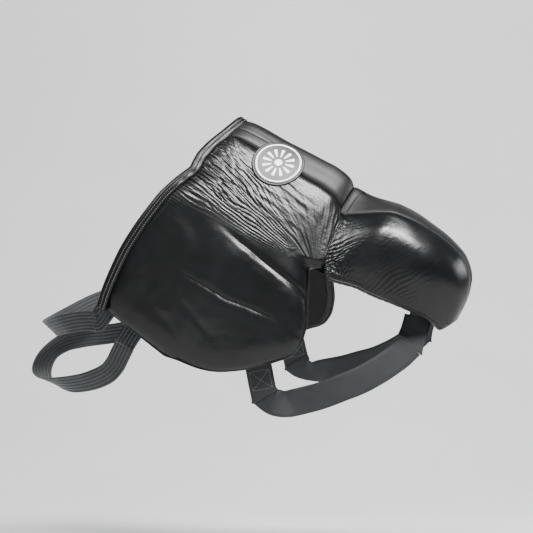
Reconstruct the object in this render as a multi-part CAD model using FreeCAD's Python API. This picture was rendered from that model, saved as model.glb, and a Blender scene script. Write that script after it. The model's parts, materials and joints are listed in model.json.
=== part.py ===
import FreeCAD, Part
import math
import os
from FreeCAD import Vector

# Boxing groin protector. Millimetres, +Z up as worn, the wearer faces -Y, the wearer's right is -X.
# Origin: centre of the waist opening, on the centre plane, at the level of the waist edge.
# A padded wrap (abdomen pad and two hip wings) carries a padded cup at its foot, two leg straps
# and two elastic waist bands behind.
#
# A place on the wrap is given by u, the length along its outer surface from the centre plane
# (positive to the wearer's right), its height z, and its depth in from the outer surface.

# ---------------------------------------------------------------- driving dimensions
Y_RIDGE = -151.5        # front ridge of the abdomen pad at the waist edge
U_SEAM = 33.0           # half width of the centre strip
U_FLEX = 112.0          # flex line between abdomen pad and hip wing
U_GAP = 3.0             # half gap of the flex line
U_END = 297.0           # rear edge of the hip wing
U_FRONT_EDGE = U_FLEX - U_GAP   # side edge of the abdomen pad
U_WING_EDGE = U_FLEX + U_GAP    # front edge of the hip wing
EDGE_MARGIN = 5.0       # margin outside the wing's lower and rear edge, where the piping runs
PAD_T = 21.0            # pad thickness of the hip wing
PAD_T_FRONT = 27.0      # pad thickness of the abdomen pad
PAD_RECESS = 11.0       # full pull-in of the outer surface at a pad's edge
LEATHER_T = 1.6
LINING_T = 1.2
LAYER_GAP = 0.5         # keeps stitched layers apart
FOAM_DEPTH = LEATHER_T + LAYER_GAP + 0.3    # outer side of the foam, below the cover's surface
SEAM_GAP = 0.3          # half gap between abdomen covers
BIND_H = 9.0            # height of the waist binding tape
BIND_GAP = 0.6          # between the tape and the pad below it
WEB_W, WEB_T = 32.0, 2.0            # leg strap webbing
ELASTIC_W, ELASTIC_T = 25.0, 2.0
PIPING_R = 2.2          # half the room taken by the wing's piping
PIPING_SIDE = 2 * PIPING_R - 0.2
PIPING_DEPTH = 0.56     # share of the pad thickness

# (u, degrees the outward normal has turned from straight ahead)
TURN = [
    (0, 0), (4, 20), (8, 35), (13, 41), (33, 44), (70, 50), (112, 57), (140, 64), (172, 70),
    (232, 82), (307, 90), (360, 91),
]
# (z, shift in y of the front ridge)
LEAN = [
    (40, 3.0), (0, 0.0), (-17, -3.5), (-42, -7.5), (-67, -11.0), (-87, -14.5), (-117, -19.5),
    (-132, -22.0), (-147, -22.5), (-160, -20.5), (-175, -19.0), (-260, -19.0),
]
LEAN_REACH = 150.0      # the lean fades out over this length along the wrap
# (u, z) of the waist edge
Z_TOP = [
    (0, -3), (33, 1), (60, 4.5), (74, 5), (87, 3), (97, 1), (105, 2.5), (112, 4), (126, 6.5),
    (150, 9), (180, 8.5), (220, 5.5), (250, 0), (275, -6), (302, -14), (360, -20),
]
# (u, z) of the hip wing's lower edge
Z_BOTTOM_WING = [
    (108, -181), (112, -184), (120.5, -190.5), (135, -199.5), (150, -211), (162, -218.5),
    (174, -223.5), (184, -226.5), (196.5, -227), (206.5, -224), (216, -218), (226, -211.5),
    (236, -204), (248, -194.5), (260, -183), (270, -172), (277.5, -161), (284, -147),
    (290, -127), (294, -108), (297, -95), (360, -60),
]
# (u, z) of the abdomen pad's lower edge
Z_BOTTOM_FRONT = [
    (0, -163), (20, -165), (33, -169), (51, -180.5), (75, -193), (90, -197), (98, -194),
    (106, -187), (112, -184), (140, -180),
]


# ---------------------------------------------------------------- curves through tables
def smooth_table(table):
    """Monotone cubic through the table's points, straight beyond its ends."""
    rows = sorted(table)
    xs = [row[0] for row in rows]
    ys = [row[1] for row in rows]
    last = len(xs) - 1
    chords = [(ys[i + 1] - ys[i]) / (xs[i + 1] - xs[i]) for i in range(last)]
    slopes = [chords[0]]
    for before, after in zip(chords, chords[1:]):
        turning = before * after <= 0
        slopes.append(0 if turning else 2 * before * after / (before + after))
    slopes.append(chords[-1])

    def value(s):
        if s <= xs[0]:
            return ys[0] + slopes[0] * (s - xs[0])
        if s >= xs[-1]:
            return ys[-1] + slopes[-1] * (s - xs[-1])
        i = next(k for k in range(last) if s <= xs[k + 1])
        h = xs[i + 1] - xs[i]
        q = (s - xs[i]) / h
        return ((2 * q ** 3 - 3 * q ** 2 + 1) * ys[i]
                + (q ** 3 - 2 * q ** 2 + q) * h * slopes[i]
                + (-2 * q ** 3 + 3 * q ** 2) * ys[i + 1]
                + (q ** 3 - q ** 2) * h * slopes[i + 1])
    return value


def spaced(first, last, count):
    return [first + (last - first) * i / (count - 1) for i in range(count)]


def ease(distance, width, low=0.0):
    """low at an edge, 1 at width or more from it, rounded."""
    q = max(0.0, min(1.0, distance / width))
    return low + (1 - low) * math.sqrt(max(0.0, 1 - (1 - q) ** 2))


turn = smooth_table(TURN)
lean = smooth_table(LEAN)
z_top_half = smooth_table(Z_TOP)
z_bottom_wing = smooth_table(Z_BOTTOM_WING)
z_bottom_front_half = smooth_table(Z_BOTTOM_FRONT)


def z_top(u):
    return z_top_half(abs(u))


def z_bottom_front(u):
    return z_bottom_front_half(abs(u))


# ---------------------------------------------------------------- the wrap
PLAN_STEP = 0.5
PLAN_LENGTH = 360
BLEND_U = 60            # inside this the inner curve is a rounded nose
BLEND_TO_WING = 70.0    # length over which the pad thins to the wing's thickness


def integrate_plan():
    """Points of the outer surface in plan, on the wearer's right, from the ridge backwards."""
    points = [(0.0, 0.0)]
    for i in range(int(PLAN_LENGTH / PLAN_STEP)):
        angle = math.radians(turn((i + 0.5) * PLAN_STEP))
        x, y = points[-1]
        points.append((x - math.cos(angle) * PLAN_STEP, y + math.sin(angle) * PLAN_STEP))
    return points


PLAN = integrate_plan()


def plan_outer(u):
    s = abs(u) / PLAN_STEP
    i = min(int(s), len(PLAN) - 2)
    q = s - i
    x = PLAN[i][0] * (1 - q) + PLAN[i + 1][0] * q
    y = PLAN[i][1] * (1 - q) + PLAN[i + 1][1] * q
    return (x if u >= 0 else -x), y


def plan_inset(u, thickness):
    """Point a thickness inside the outer curve; u is not negative."""
    x, y = plan_outer(u)
    angle = math.radians(turn(u))
    return x + math.sin(angle) * thickness, y + math.cos(angle) * thickness


def plan_inner(u):
    """Inner side of the pads, rounder at the front than the outer curve."""
    length = abs(u)
    if length < BLEND_U:
        join_x, join_y = plan_inset(BLEND_U, PAD_T_FRONT)
        q = length / BLEND_U
        x = join_x * (0.55 * q + 0.45 * q * q)
        nose_y = join_y - abs(join_x) * math.tan(math.radians(turn(BLEND_U))) * 0.62
        y = nose_y + (join_y - nose_y) * q ** 1.75
    else:
        thinning = min(1.0, (length - BLEND_U) / BLEND_TO_WING)
        x, y = plan_inset(length, PAD_T_FRONT + (PAD_T - PAD_T_FRONT) * thinning)
    return (x if u >= 0 else -x), y


def lean_share(u):
    k = max(0.0, 1.0 - abs(u) / LEAN_REACH)
    return k * k * (3 - 2 * k)


def pad_thickness(u):
    outer_x, outer_y = plan_outer(u)
    inner_x, inner_y = plan_inner(u)
    return math.hypot(inner_x - outer_x, inner_y - outer_y)


def wrap_point(u, z, depth):
    outer_x, outer_y = plan_outer(u)
    inner_x, inner_y = plan_inner(u)
    q = depth / pad_thickness(u)
    return Vector(outer_x + (inner_x - outer_x) * q,
                  Y_RIDGE + outer_y + (inner_y - outer_y) * q + lean(z) * lean_share(u),
                  z)


# ---------------------------------------------------------------- solids from point grids
def grid_solid(front, back):
    """Closed solid between two point grids of the same size."""
    a, b = Part.BSplineSurface(), Part.BSplineSurface()
    a.interpolate(front)
    b.interpolate(back)
    a_u0, a_u1, a_v0, a_v1 = a.bounds()
    b_u0, b_u1, b_v0, b_v1 = b.bounds()
    edge_pairs = (
        (a.uIso(a_u0), b.uIso(b_u0)), (a.uIso(a_u1), b.uIso(b_u1)),
        (a.vIso(a_v0), b.vIso(b_v0)), (a.vIso(a_v1), b.vIso(b_v1)),
    )
    faces = [a.toShape(), b.toShape()]
    for edge_a, edge_b in edge_pairs:
        faces.append(Part.makeRuledSurface(edge_a.toShape(), edge_b.toShape()))
    shell = Part.makeShell(faces)
    shell.sewShape(1e-3)
    solid = Part.Solid(shell)
    if solid.Volume < 0:
        solid.reverse()
    if not solid.isValid():
        solid.fix(1e-3, 1e-3, 1e-2)
    return solid


def wrap_slab(stations, z_first, z_last, depth_outer, depth_inner, rows):
    """Solid on the wrap between the heights z_first(u) and z_last(u).

    The depths are functions of u and of q, which runs 0..1 from z_first to z_last.
    """
    outer, inner = [], []
    for u in stations:
        places = [(q, z_first(u) + (z_last(u) - z_first(u)) * q) for q in spaced(0, 1, rows)]
        outer.append([wrap_point(u, z, depth_outer(u, q)) for q, z in places])
        inner.append([wrap_point(u, z, depth_inner(u, q)) for q, z in places])
    return grid_solid(outer, inner)


def ribbon(points, width_dirs, width, thickness, count):
    """Flat band along points; width_dirs give the direction of its width at each of them."""
    curve = Part.BSplineCurve()
    curve.interpolate(points)
    params = [curve.parameter(p) for p in points]
    width_axes = [smooth_table([(t, d[k]) for t, d in zip(params, width_dirs)])
                  for k in range(3)]
    front, back = [], []
    for t in spaced(params[0], params[-1], count):
        p = curve.value(t)
        along = curve.tangent(t)[0]
        across = Vector(*[axis(t) for axis in width_axes])
        across = across - along * across.dot(along)
        across.normalize()
        normal = along.cross(across)
        normal.normalize()
        half = normal * (thickness / 2)
        front.append([p + half + across * (width * s) for s in (-0.5, 0, 0.5)])
        back.append([p - half + across * (width * s) for s in (-0.5, 0, 0.5)])
    return grid_solid(front, back)


def table_ribbon(table, width, thickness, count):
    """Ribbon from rows of x, y, z and the three components of the width direction."""
    points = [Vector(*row[:3]) for row in table]
    width_dirs = [Vector(*row[3:]) for row in table]
    return ribbon(points, width_dirs, width, thickness, count)


def relieved(shape, *others):
    """Largest solid left after cutting the neighbours away."""
    for other in others:
        shape = shape.cut(other)
    return max(shape.Solids, key=lambda s: s.Volume)


def save(name, shape):
    shape.exportStep("parts/%s.step" % name)


def save_pair(name, right):
    save(name + "_right", right)
    save(name + "_left", right.mirror(Vector(0, 0, 0), Vector(1, 0, 0)))


# ---------------------------------------------------------------- layers of both pads
def pad_top(u):
    return z_top(u) - BIND_H - BIND_GAP


def layer_depths(recess, foam_gap):
    """Outer and inner depth functions of the cover, foam and lining of a pad."""
    cover = (recess, lambda u, q: recess(u, q) + LEATHER_T)
    foam = (lambda u, q: recess(u, q) + FOAM_DEPTH,
            lambda u, q: pad_thickness(u) - LINING_T - foam_gap)
    lining = (lambda u, q: pad_thickness(u) - LINING_T, lambda u, q: pad_thickness(u))
    return cover, foam, lining


def waist_binding(stations):
    """Binding tape along the waist edge, its upper corners rounded."""
    return wrap_slab(
        stations, z_top, lambda u: z_top(u) - BIND_H,
        lambda u, q: 3.2 + 1.6 * (1 - ease(q * BIND_H, 5)),
        lambda u, q: pad_thickness(u) + 0.6 - 1.2 * (1 - ease(q * BIND_H, 4)), 4)


# ---------------------------------------------------------------- hip wings
WING_STATIONS = [
    U_WING_EDGE, 120, 128, 138, 150, 164, 178, 192, 206, 220, 234, 248, 260, 271, 281, 289,
    U_END - EDGE_MARGIN,
]
WING_FOAM_INSET = 3.6
# u stations of the piping along the lower edge, then its heights up the rear edge
PIPING_STATIONS = [
    118, 124, 133, 146, 158, 170, 182, 194, 207, 220, 232, 244, 255, 265, 275, 283, 289.5, 293,
]
PIPING_REAR_Z = [-86, -66, -45, -24]


def wing_recess(u, q):
    """How far the wing's outer surface pulls in towards its edges."""
    height = z_top(u) - BIND_H - z_bottom_wing(u)
    down = q * height
    return PAD_RECESS * (1 - min(
        ease(height - down + 2, 26),
        ease(U_END - u + 2, 26),
        ease(u - U_WING_EDGE, 14, low=0.55),
        ease(down + 1, 20, low=0.62)))


def wing_bottom(u):
    return z_bottom_wing(u) + EDGE_MARGIN * (1.0 + 0.7 * max(0.0, (u - 250) / 50.0))


def wing_layer(depths, inset=0.0):
    first, last = U_WING_EDGE + inset, U_END - EDGE_MARGIN - inset
    stations = sorted({min(max(u, first), last) for u in WING_STATIONS})
    return wrap_slab(stations, lambda u: pad_top(u) - inset,
                     lambda u: wing_bottom(u) + inset * 1.2, *depths, 9)


def hip_piping():
    """Square cord along the wing's lower and rear edge."""
    def outward(u):
        return wrap_point(u, -100, 0) - wrap_point(u, -100, 4)

    points = [wrap_point(u, wing_bottom(u) - PIPING_R - 0.8, PIPING_DEPTH * pad_thickness(u))
              for u in PIPING_STATIONS]
    rear_u = U_END - EDGE_MARGIN + PIPING_R + 0.9
    points += [wrap_point(rear_u, z, PIPING_DEPTH * PAD_T) for z in PIPING_REAR_Z]
    width_dirs = [outward(u) for u in PIPING_STATIONS] + [outward(295)] * len(PIPING_REAR_Z)
    return ribbon(points, width_dirs, PIPING_SIDE, PIPING_SIDE, 46)


def build_hip_wings():
    cover, foam, lining = layer_depths(wing_recess, LAYER_GAP)
    piping = hip_piping()
    save_pair("hip_cover", wing_layer(cover))
    save_pair("hip_foam", relieved(wing_layer(foam, WING_FOAM_INSET), piping))
    save_pair("hip_lining", wing_layer(lining))
    save_pair("hip_piping", piping)
    save_pair("waist_binding", waist_binding(WING_STATIONS))


# ---------------------------------------------------------------- abdomen pad
FRONT_STATIONS = [0, 2.5, 5, 8, 12, 17, 24, 33, 44, 56, 68, 80, 92, 102, U_FRONT_EDGE]
MIN_STATION_GAP = 1.2
FRONT_FOAM_INSET = 3.0
FRONT_FOAM_GAP = 1.0    # between foam and lining


def front_stations(first, last):
    both_sides = sorted({side * u for u in FRONT_STATIONS for side in (-1, 1)})
    inside = [u for u in both_sides if first + MIN_STATION_GAP < u < last - MIN_STATION_GAP]
    return [first] + inside + [last]


def front_recess(u, q):
    """How far the abdomen pad's outer surface pulls in towards its edges."""
    height = z_top(u) - BIND_H - z_bottom_front(u)
    return PAD_RECESS * (1 - min(
        ease(height * (1 - q) + 1, 13, low=0.60),
        ease(q * height + 1, 16, low=0.62),
        ease(U_FRONT_EDGE - abs(u), 14, low=0.55)))


def front_layer(first, last, depths, inset=0.0):
    return wrap_slab(front_stations(first + inset, last - inset),
                     lambda u: pad_top(u) - inset,
                     lambda u: z_bottom_front(u) + inset, *depths, 9)


def build_abdomen_pad():
    """Write the abdomen pad's pieces and return the centre cover."""
    cover, foam, lining = layer_depths(front_recess, FRONT_FOAM_GAP)
    edges = (-U_FRONT_EDGE, U_FRONT_EDGE)
    center_cover = front_layer(-U_SEAM + SEAM_GAP, U_SEAM - SEAM_GAP, cover)
    save("abdomen_center_cover", center_cover)
    save_pair("abdomen_side_cover", front_layer(U_SEAM + SEAM_GAP, U_FRONT_EDGE, cover))
    save("abdomen_foam", front_layer(*edges, foam, FRONT_FOAM_INSET))
    save("abdomen_lining", front_layer(*edges, lining))
    save("waist_binding_front", waist_binding(front_stations(*edges)))
    return center_cover


# ---------------------------------------------------------------- badge
# On the wearer's right, over the seam of the centre strip.
BADGE_U, BADGE_Z = 37.0, -75.0
BADGE_D = 58.0
BADGE_SPAN = 30         # half size of the square patch the badge is cut from
BADGE_DISC_LIFT = (1.3, 2.5)    # inner and outer height above the wrap's outer surface
BADGE_TRIM_LIFT = (2.6, 3.1)    # the same for the ring and the motif
RING_IN_OUTER, RING_IN_INNER = 3.5, 5.7     # ring's radii, in from the disc's edge
HUB_R = 4.2
RAY_COUNT = 12
# (radius, half width with its side) of a ray's corners
RAY_CORNERS = ((7.0, -0.8), (16.0, -1.9), (16.0, 1.9), (7.0, 0.8))
CUTTER_L = 40


def badge_layer(lift):
    low, high = lift
    return wrap_slab(spaced(BADGE_U - BADGE_SPAN, BADGE_U + BADGE_SPAN, 11),
                     lambda u: BADGE_Z + BADGE_SPAN, lambda u: BADGE_Z - BADGE_SPAN,
                     lambda u, q: -high, lambda u, q: -low, 5)


def build_badge(center_cover):
    center = wrap_point(BADGE_U, BADGE_Z, 0)
    across = wrap_point(BADGE_U + 8, BADGE_Z, 0) - wrap_point(BADGE_U - 8, BADGE_Z, 0)
    up = wrap_point(BADGE_U, BADGE_Z + 8, 0) - wrap_point(BADGE_U, BADGE_Z - 8, 0)
    across.normalize()
    up.normalize()
    normal = up.cross(across)
    normal.normalize()
    up = across.cross(normal)
    base = center - normal * (CUTTER_L / 2)

    def cylinder(radius):
        return Part.makeCylinder(radius, CUTTER_L, base, normal)

    disc = badge_layer(BADGE_DISC_LIFT).common(cylinder(BADGE_D / 2))
    save("badge_disc", relieved(disc, center_cover))

    trim = badge_layer(BADGE_TRIM_LIFT)
    outer = cylinder(BADGE_D / 2 - RING_IN_OUTER)
    save("badge_ring", trim.common(outer.cut(cylinder(BADGE_D / 2 - RING_IN_INNER))))

    motif = []
    for k in range(RAY_COUNT):
        angle = 2 * math.pi * (k + 0.5) / RAY_COUNT
        radial = across * math.cos(angle) + up * math.sin(angle)
        sideways = across * -math.sin(angle) + up * math.cos(angle)
        corners = [base + radial * r + sideways * w for r, w in RAY_CORNERS]
        face = Part.Face(Part.makePolygon(corners + [corners[0]]))
        motif += trim.common(face.extrude(normal * CUTTER_L)).Solids
    motif += trim.common(cylinder(HUB_R)).Solids
    save("badge_motif", Part.makeCompound(motif))


# ---------------------------------------------------------------- cup
# A place on the cup is given by v, 0..1 from its top to its lower tip, and side, which runs
# from -1 at the right rim over the front line to +1 at the left rim.
CUP_FOAM_T = 13.0
CUP_SHELL_T = 2.5
CUP_SHELL_GAP = 1.8     # between foam and shell
CUP_LINING_GAP = 1.0    # between shell and lining
CUP_MIDDLE = Vector(0, -120, -265)      # inside the cup, to tell outward from inward
CUP_SEAM_GAP = 0.004    # half gap between cup covers, in side
CUP_CENTER_END = 0.80   # v where the centre cover ends
CUP = [
    # v, front line y, z, rim half width, y, z
    (0.00, -164.0, -172.5, 68.0, -83.0, -206.0),
    (0.06, -168.5, -180.0, 68.0, -84.5, -211.0),
    (0.15, -176.0, -196.0, 67.5, -87.0, -220.0),
    (0.28, -183.0, -220.0, 66.0, -91.0, -237.0),
    (0.42, -188.0, -247.0, 63.0, -95.0, -258.0),
    (0.56, -189.5, -277.0, 58.5, -101.0, -281.0),
    (0.69, -186.0, -307.0, 51.5, -105.5, -303.0),
    (0.80, -174.0, -330.0, 43.0, -108.0, -321.0),
    (0.89, -154.0, -344.0, 34.0, -106.0, -333.0),
    (0.95, -133.0, -350.5, 27.0, -103.0, -340.0),
    (1.00, -114.0, -353.5, 21.0, -99.0, -345.5),
]
# (v, side) of the left seam between centre and side covers
CUP_SEAM = [
    (0.0, 0.27), (0.15, 0.25), (0.3, 0.215), (0.45, 0.165), (0.6, 0.105), (0.72, 0.06),
    (0.82, 0.03), (1.0, 0.02),
]
RIM_PIPING_R = 2.6
RIM_PIPING_V = [0.03, 0.10, 0.2, 0.32, 0.44, 0.56, 0.68, 0.74]

cup_columns = [smooth_table([(row[0], row[k]) for row in CUP]) for k in range(1, 6)]
cup_seam = smooth_table(CUP_SEAM)


def cup_surface(v, side):
    front_y, front_z, half_width, rim_y, rim_z = (column(v) for column in cup_columns)
    angle = side * math.pi / 2
    forward = math.cos(angle) ** 0.86
    sideways = math.copysign(abs(math.sin(angle)) ** 0.90, angle)
    return Vector(half_width * sideways,
                  rim_y + (front_y - rim_y) * forward,
                  rim_z + (front_z - rim_z) * forward)


def cup_point(v, side, depth):
    """Point of the cup, depth in from its outer surface."""
    point = cup_surface(v, side)
    if abs(side) > 0.97:
        # the surface turns too sharply at the rim for its own normal
        normal = Vector(math.copysign(0.985, side), 0, 0)
    else:
        down = cup_surface(min(1, v + 1e-3), side) - cup_surface(max(0, v - 1e-3), side)
        side_before, side_after = max(-0.999, side - 4e-3), min(0.999, side + 4e-3)
        across = cup_surface(v, side_after) - cup_surface(v, side_before)
        normal = across.cross(down)
        normal.normalize()
        if normal.dot(point - CUP_MIDDLE) < 0:
            normal = normal * -1
    return point - normal * depth


def cup_slab(v_range, sides, depth_outer, depth_inner, rows, columns):
    """Solid on the cup; sides(v) gives its two edges, the depths are functions of v."""
    outer, inner = [], []
    for v in spaced(*v_range, rows):
        places = spaced(*sides(v), columns)
        outer.append([cup_point(v, side, depth_outer(v)) for side in places])
        inner.append([cup_point(v, side, depth_inner(v)) for side in places])
    return grid_solid(outer, inner)


def cup_foam_inner(v):
    """Depth of the foam's inner side; the foam thins towards the tip."""
    return FOAM_DEPTH + CUP_FOAM_T * (1.0 - 0.55 * max(0.0, (v - 0.75) / 0.25))


def cup_cover(v_end, sides, rows, columns):
    return cup_slab((0.0, v_end), sides, lambda v: 0.0, lambda v: LEATHER_T, rows, columns)


def cup_rim_piping():
    """Round piping inside the right rim."""
    points = []
    for v in RIM_PIPING_V:
        half_width, rim_y, rim_z = (column(v) for column in cup_columns[2:])
        points.append(Vector(-(half_width - 9.5), rim_y + 5.6, rim_z + 1.5))
    curve = Part.BSplineCurve()
    curve.interpolate(points)
    start_dir = curve.tangent(curve.FirstParameter)[0]
    ring = Part.Wire([Part.makeCircle(RIM_PIPING_R, points[0], start_dir)])
    return Part.Wire([curve.toShape()]).makePipeShell([ring], True, True)


def build_cup():
    def center_sides(v):
        return -cup_seam(v) + CUP_SEAM_GAP, cup_seam(v) - CUP_SEAM_GAP

    def right_sides(v):
        return -0.985, -cup_seam(v) - CUP_SEAM_GAP

    def shell_outer(v):
        return cup_foam_inner(v) + CUP_SHELL_GAP

    def shell_inner(v):
        return shell_outer(v) + CUP_SHELL_T

    def lining_outer(v):
        return shell_inner(v) + CUP_LINING_GAP

    save("cup_center_cover", cup_cover(CUP_CENTER_END, center_sides, 10, 7))
    save_pair("cup_side_cover", cup_cover(1.0, right_sides, 13, 9))
    foam = cup_slab((0.02, 0.985), lambda v: (-0.95, 0.95),
                    lambda v: FOAM_DEPTH, cup_foam_inner, 13, 19)
    shell = cup_slab((0.06, 0.93), lambda v: (-0.90, 0.90), shell_outer, shell_inner, 12, 17)
    lining = cup_slab((0.03, 0.965), lambda v: (-0.93, 0.93),
                      lining_outer, lambda v: lining_outer(v) + LINING_T, 12, 17)
    # the curved layers run into each other towards the tip and rim
    shell = relieved(shell, foam)
    save("cup_foam", foam)
    save("cup_shell", shell)
    save("cup_lining", relieved(lining, foam, shell))
    save_pair("cup_rim_piping", cup_rim_piping())


# ---------------------------------------------------------------- webbing
# Rows of the band tables: x, y, z, then the direction of the width.
CROTCH_WEBBING = [      # stub from the cup's rim to the leg strap
    (-26.5, -90, -318, 0, 0.35, 1),
    (-30.0, -80.8, -321.2, 0, 0.35, 1),
    (-32.4, -76.2, -323.2, 0, 0.4, 1),
    (-34.2, -72.8, -324.8, 0, 0.4, 1),
]
LEG_STRAP = [           # from the stub back and up towards the tab
    (-40.4, -61.2, -326.7, 0.1, 0.05, 1),
    (-46, -48.3, -324.5, 0.1, -0.1, 1),
    (-54.5, -26.4, -317.2, 0.08, -0.25, 1),
    (-63.5, -3.5, -306.8, 0.05, -0.4, 1),
    (-72, 16, -294.5, 0, -0.5, 1),
    (-79.5, 36.5, -281.3, -0.03, -0.6, 0.95),
    (-87, 59.1, -263, -0.05, -0.75, 0.85),
    (-90.5, 69, -253, 0, -0.85, 0.6),
    (-91.3, 71.6, -247.5, 0, -0.9, 0.5),
]
LEG_TAB = [             # inside the wing's lining, running down
    (-87.0, 21, -171, 0, -0.75, -0.66),
    (-88.9, 33, -185, 0, -0.75, -0.66),
    (-91.2, 46, -199, 0, -0.75, -0.66),
    (-93.2, 56.4, -210.7, 0, -0.75, -0.66),
    (-94.2, 68, -223.8, 0, -0.75, -0.66),
]


def build_webbing():
    save_pair("crotch_webbing", table_ribbon(CROTCH_WEBBING, WEB_W, WEB_T, 6))
    save_pair("leg_strap", table_ribbon(LEG_STRAP, WEB_W, WEB_T, 22))
    save_pair("leg_tab", table_ribbon(LEG_TAB, WEB_W, WEB_T, 8))


# ---------------------------------------------------------------- elastic waist bands
BAND_START_X = wrap_point(U_END, -50, PAD_T + 2).x      # on the wearer's right
BAND_START_Y = 127.0
LOWER_BAND_Z, UPPER_BAND_Z = -63.6, -22.0
LOWER_END_Z = -62.5
BAND_END_U = (272, 304)     # the sewn ends run out past the wing's rear edge
BAND_END_DEPTH = PAD_T + 1.0
LOWER_BAND = [          # from right to left behind the wearer
    (BAND_START_X, BAND_START_Y, LOWER_BAND_Z, 0, 0, 1),
    (-93.5, 134, -65.2, 0, 0, 1),
    (-90, 145, -66, 0, 0, 1),
    (-86, 161, -67.6, 0, 0, 1),
    (-79, 180.4, -64.5, 0.25, 0.25, 1),
    (-62, 209.4, -49, 0.25, 0.25, 1),
    (-38, 238, -26.3, 0.25, 0.25, 1),
    (-8, 258, -2, 0.1, 0.35, 1),
    (26, 264, 14, 0.1, 0.35, 1),
    (56, 254, 22, 0.1, 0.35, 1),
    (78, 236, 17, -0.1, 0.2, 1),
    (88, 218, 2, -0.1, 0.2, 1),
    (94, 196.4, -20, -0.1, 0.2, 1),
    (96.5, 172, -42, 0, 0, 1),
    (95.5, 148, -57, 0, 0, 1),
    (94.5, 135, -63, 0, 0, 1),
    (-BAND_START_X, BAND_START_Y, LOWER_BAND_Z, 0, 0, 1),
]
UPPER_BAND_HALF = [     # from the right to the centre plane
    (BAND_START_X, BAND_START_Y, UPPER_BAND_Z, 0, -0.3, 1),
    (-92.5, 133, -15, 0, -0.4, 1),
    (-87, 146, -2, 0, -0.35, 1),
    (-74, 168, 14, 0, -0.2, 1),
    (-44, 190, 26, 0, -0.1, 1),
    (0, 199, 31, 0, -0.1, 1),
]


def band_end(z):
    """Sewn end of a waist band, on the inside of the lining."""
    return wrap_slab(spaced(*BAND_END_U, 6),
                     lambda u: z - ELASTIC_W / 2, lambda u: z + ELASTIC_W / 2,
                     lambda u, q: BAND_END_DEPTH, lambda u, q: BAND_END_DEPTH + ELASTIC_T, 3)


def build_waist_bands():
    upper_left = [(-row[0],) + row[1:] for row in UPPER_BAND_HALF[-2::-1]]
    upper_band = UPPER_BAND_HALF + upper_left
    save_pair("lower_band_end", band_end(LOWER_END_Z))
    save_pair("upper_band_end", band_end(UPPER_BAND_Z))
    save("waist_band_lower", table_ribbon(LOWER_BAND, ELASTIC_W, ELASTIC_T, 44))
    save("waist_band_upper", table_ribbon(upper_band, ELASTIC_W, ELASTIC_T, 36))


os.makedirs("parts", exist_ok=True)
build_hip_wings()
abdomen_center_cover = build_abdomen_pad()
build_badge(abdomen_center_cover)
build_cup()
build_webbing()
build_waist_bands()
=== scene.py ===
# Leather groin guard: a padded abdomen pad with two hip wings, a cup below it, webbing leg
# straps, two elastic waist bands and a round badge. It stands upright in its frame: front is -Y,
# the wearer's right is -X, up is +Z. Shapes are laid out in mm and meshes are made in metres.
import json
import math

import bmesh
import bpy
import numpy as np
from mathutils import Matrix, Vector


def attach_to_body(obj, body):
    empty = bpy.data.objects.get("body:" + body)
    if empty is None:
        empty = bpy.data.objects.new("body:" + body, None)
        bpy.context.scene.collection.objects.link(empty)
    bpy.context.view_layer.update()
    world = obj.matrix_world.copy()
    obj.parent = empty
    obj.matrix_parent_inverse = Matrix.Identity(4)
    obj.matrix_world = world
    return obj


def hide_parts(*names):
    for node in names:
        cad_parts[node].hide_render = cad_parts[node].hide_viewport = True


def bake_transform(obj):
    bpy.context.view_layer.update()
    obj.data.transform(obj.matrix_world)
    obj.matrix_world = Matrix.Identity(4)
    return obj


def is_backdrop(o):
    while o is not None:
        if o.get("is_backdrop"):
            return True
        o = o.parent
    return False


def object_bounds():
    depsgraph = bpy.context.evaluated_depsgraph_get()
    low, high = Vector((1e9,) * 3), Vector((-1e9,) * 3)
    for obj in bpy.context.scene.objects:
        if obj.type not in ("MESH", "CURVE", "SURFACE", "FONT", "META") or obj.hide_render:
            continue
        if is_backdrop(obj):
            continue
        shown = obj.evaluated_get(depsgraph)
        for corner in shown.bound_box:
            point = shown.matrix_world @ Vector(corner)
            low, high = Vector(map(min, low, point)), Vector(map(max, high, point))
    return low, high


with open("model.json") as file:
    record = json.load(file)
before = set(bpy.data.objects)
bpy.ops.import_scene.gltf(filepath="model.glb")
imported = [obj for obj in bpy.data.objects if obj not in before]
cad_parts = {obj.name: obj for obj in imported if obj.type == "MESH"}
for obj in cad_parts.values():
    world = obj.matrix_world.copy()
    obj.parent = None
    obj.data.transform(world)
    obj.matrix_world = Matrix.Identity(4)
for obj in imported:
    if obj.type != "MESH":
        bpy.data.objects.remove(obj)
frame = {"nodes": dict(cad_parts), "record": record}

MM = 0.001
DETAIL = 1.0
SIDES = (("right", 1), ("left", -1))  # the wearer's sides; the sign multiplies an x of the right
cad_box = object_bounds()


def count(full):
    """Number of mesh rows at the current detail."""
    return int(full * DETAIL)


# ---------------------------------------------------------------- layout of the wrap
# The pad and wings are laid out by arc (mm round the body from the front centre line along the
# outer surface), z (height) and depth (mm inward from the outer surface).
SEAM_ARC, END_ARC = 33.0, 297.0         # centre strip's seam, rear edge of the wing
FRONT_ARC = 60.0                        # the inner wall is flattened up to here
PAD_FRONT, PAD_SIDE = 27.0, 21.0        # padding thickness
FRONT_Y = -151.5                        # outer surface at the centre line, z = 0
PLAN_STEP = 0.5
APEX_ARC, APEX_Z = 110.0, -192.0        # crotch apex, where pad, wing and cup meet

# (arc, heading in degrees) of the outer surface seen from above
TURN = [(0, 0), (4, 20), (8, 35), (13, 41), (33, 44), (70, 50), (112, 57), (140, 64), (172, 70),
        (232, 82), (307, 90), (360, 91)]
# (z, shift in y) at the centre line
LEAN = [(40, 3.0), (0, 0.0), (-17, -3.5), (-42, -7.5), (-67, -11.0), (-87, -14.5), (-117, -19.5),
        (-132, -22.0), (-147, -22.5), (-160, -20.5), (-175, -19.0), (-260, -19.0)]
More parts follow.
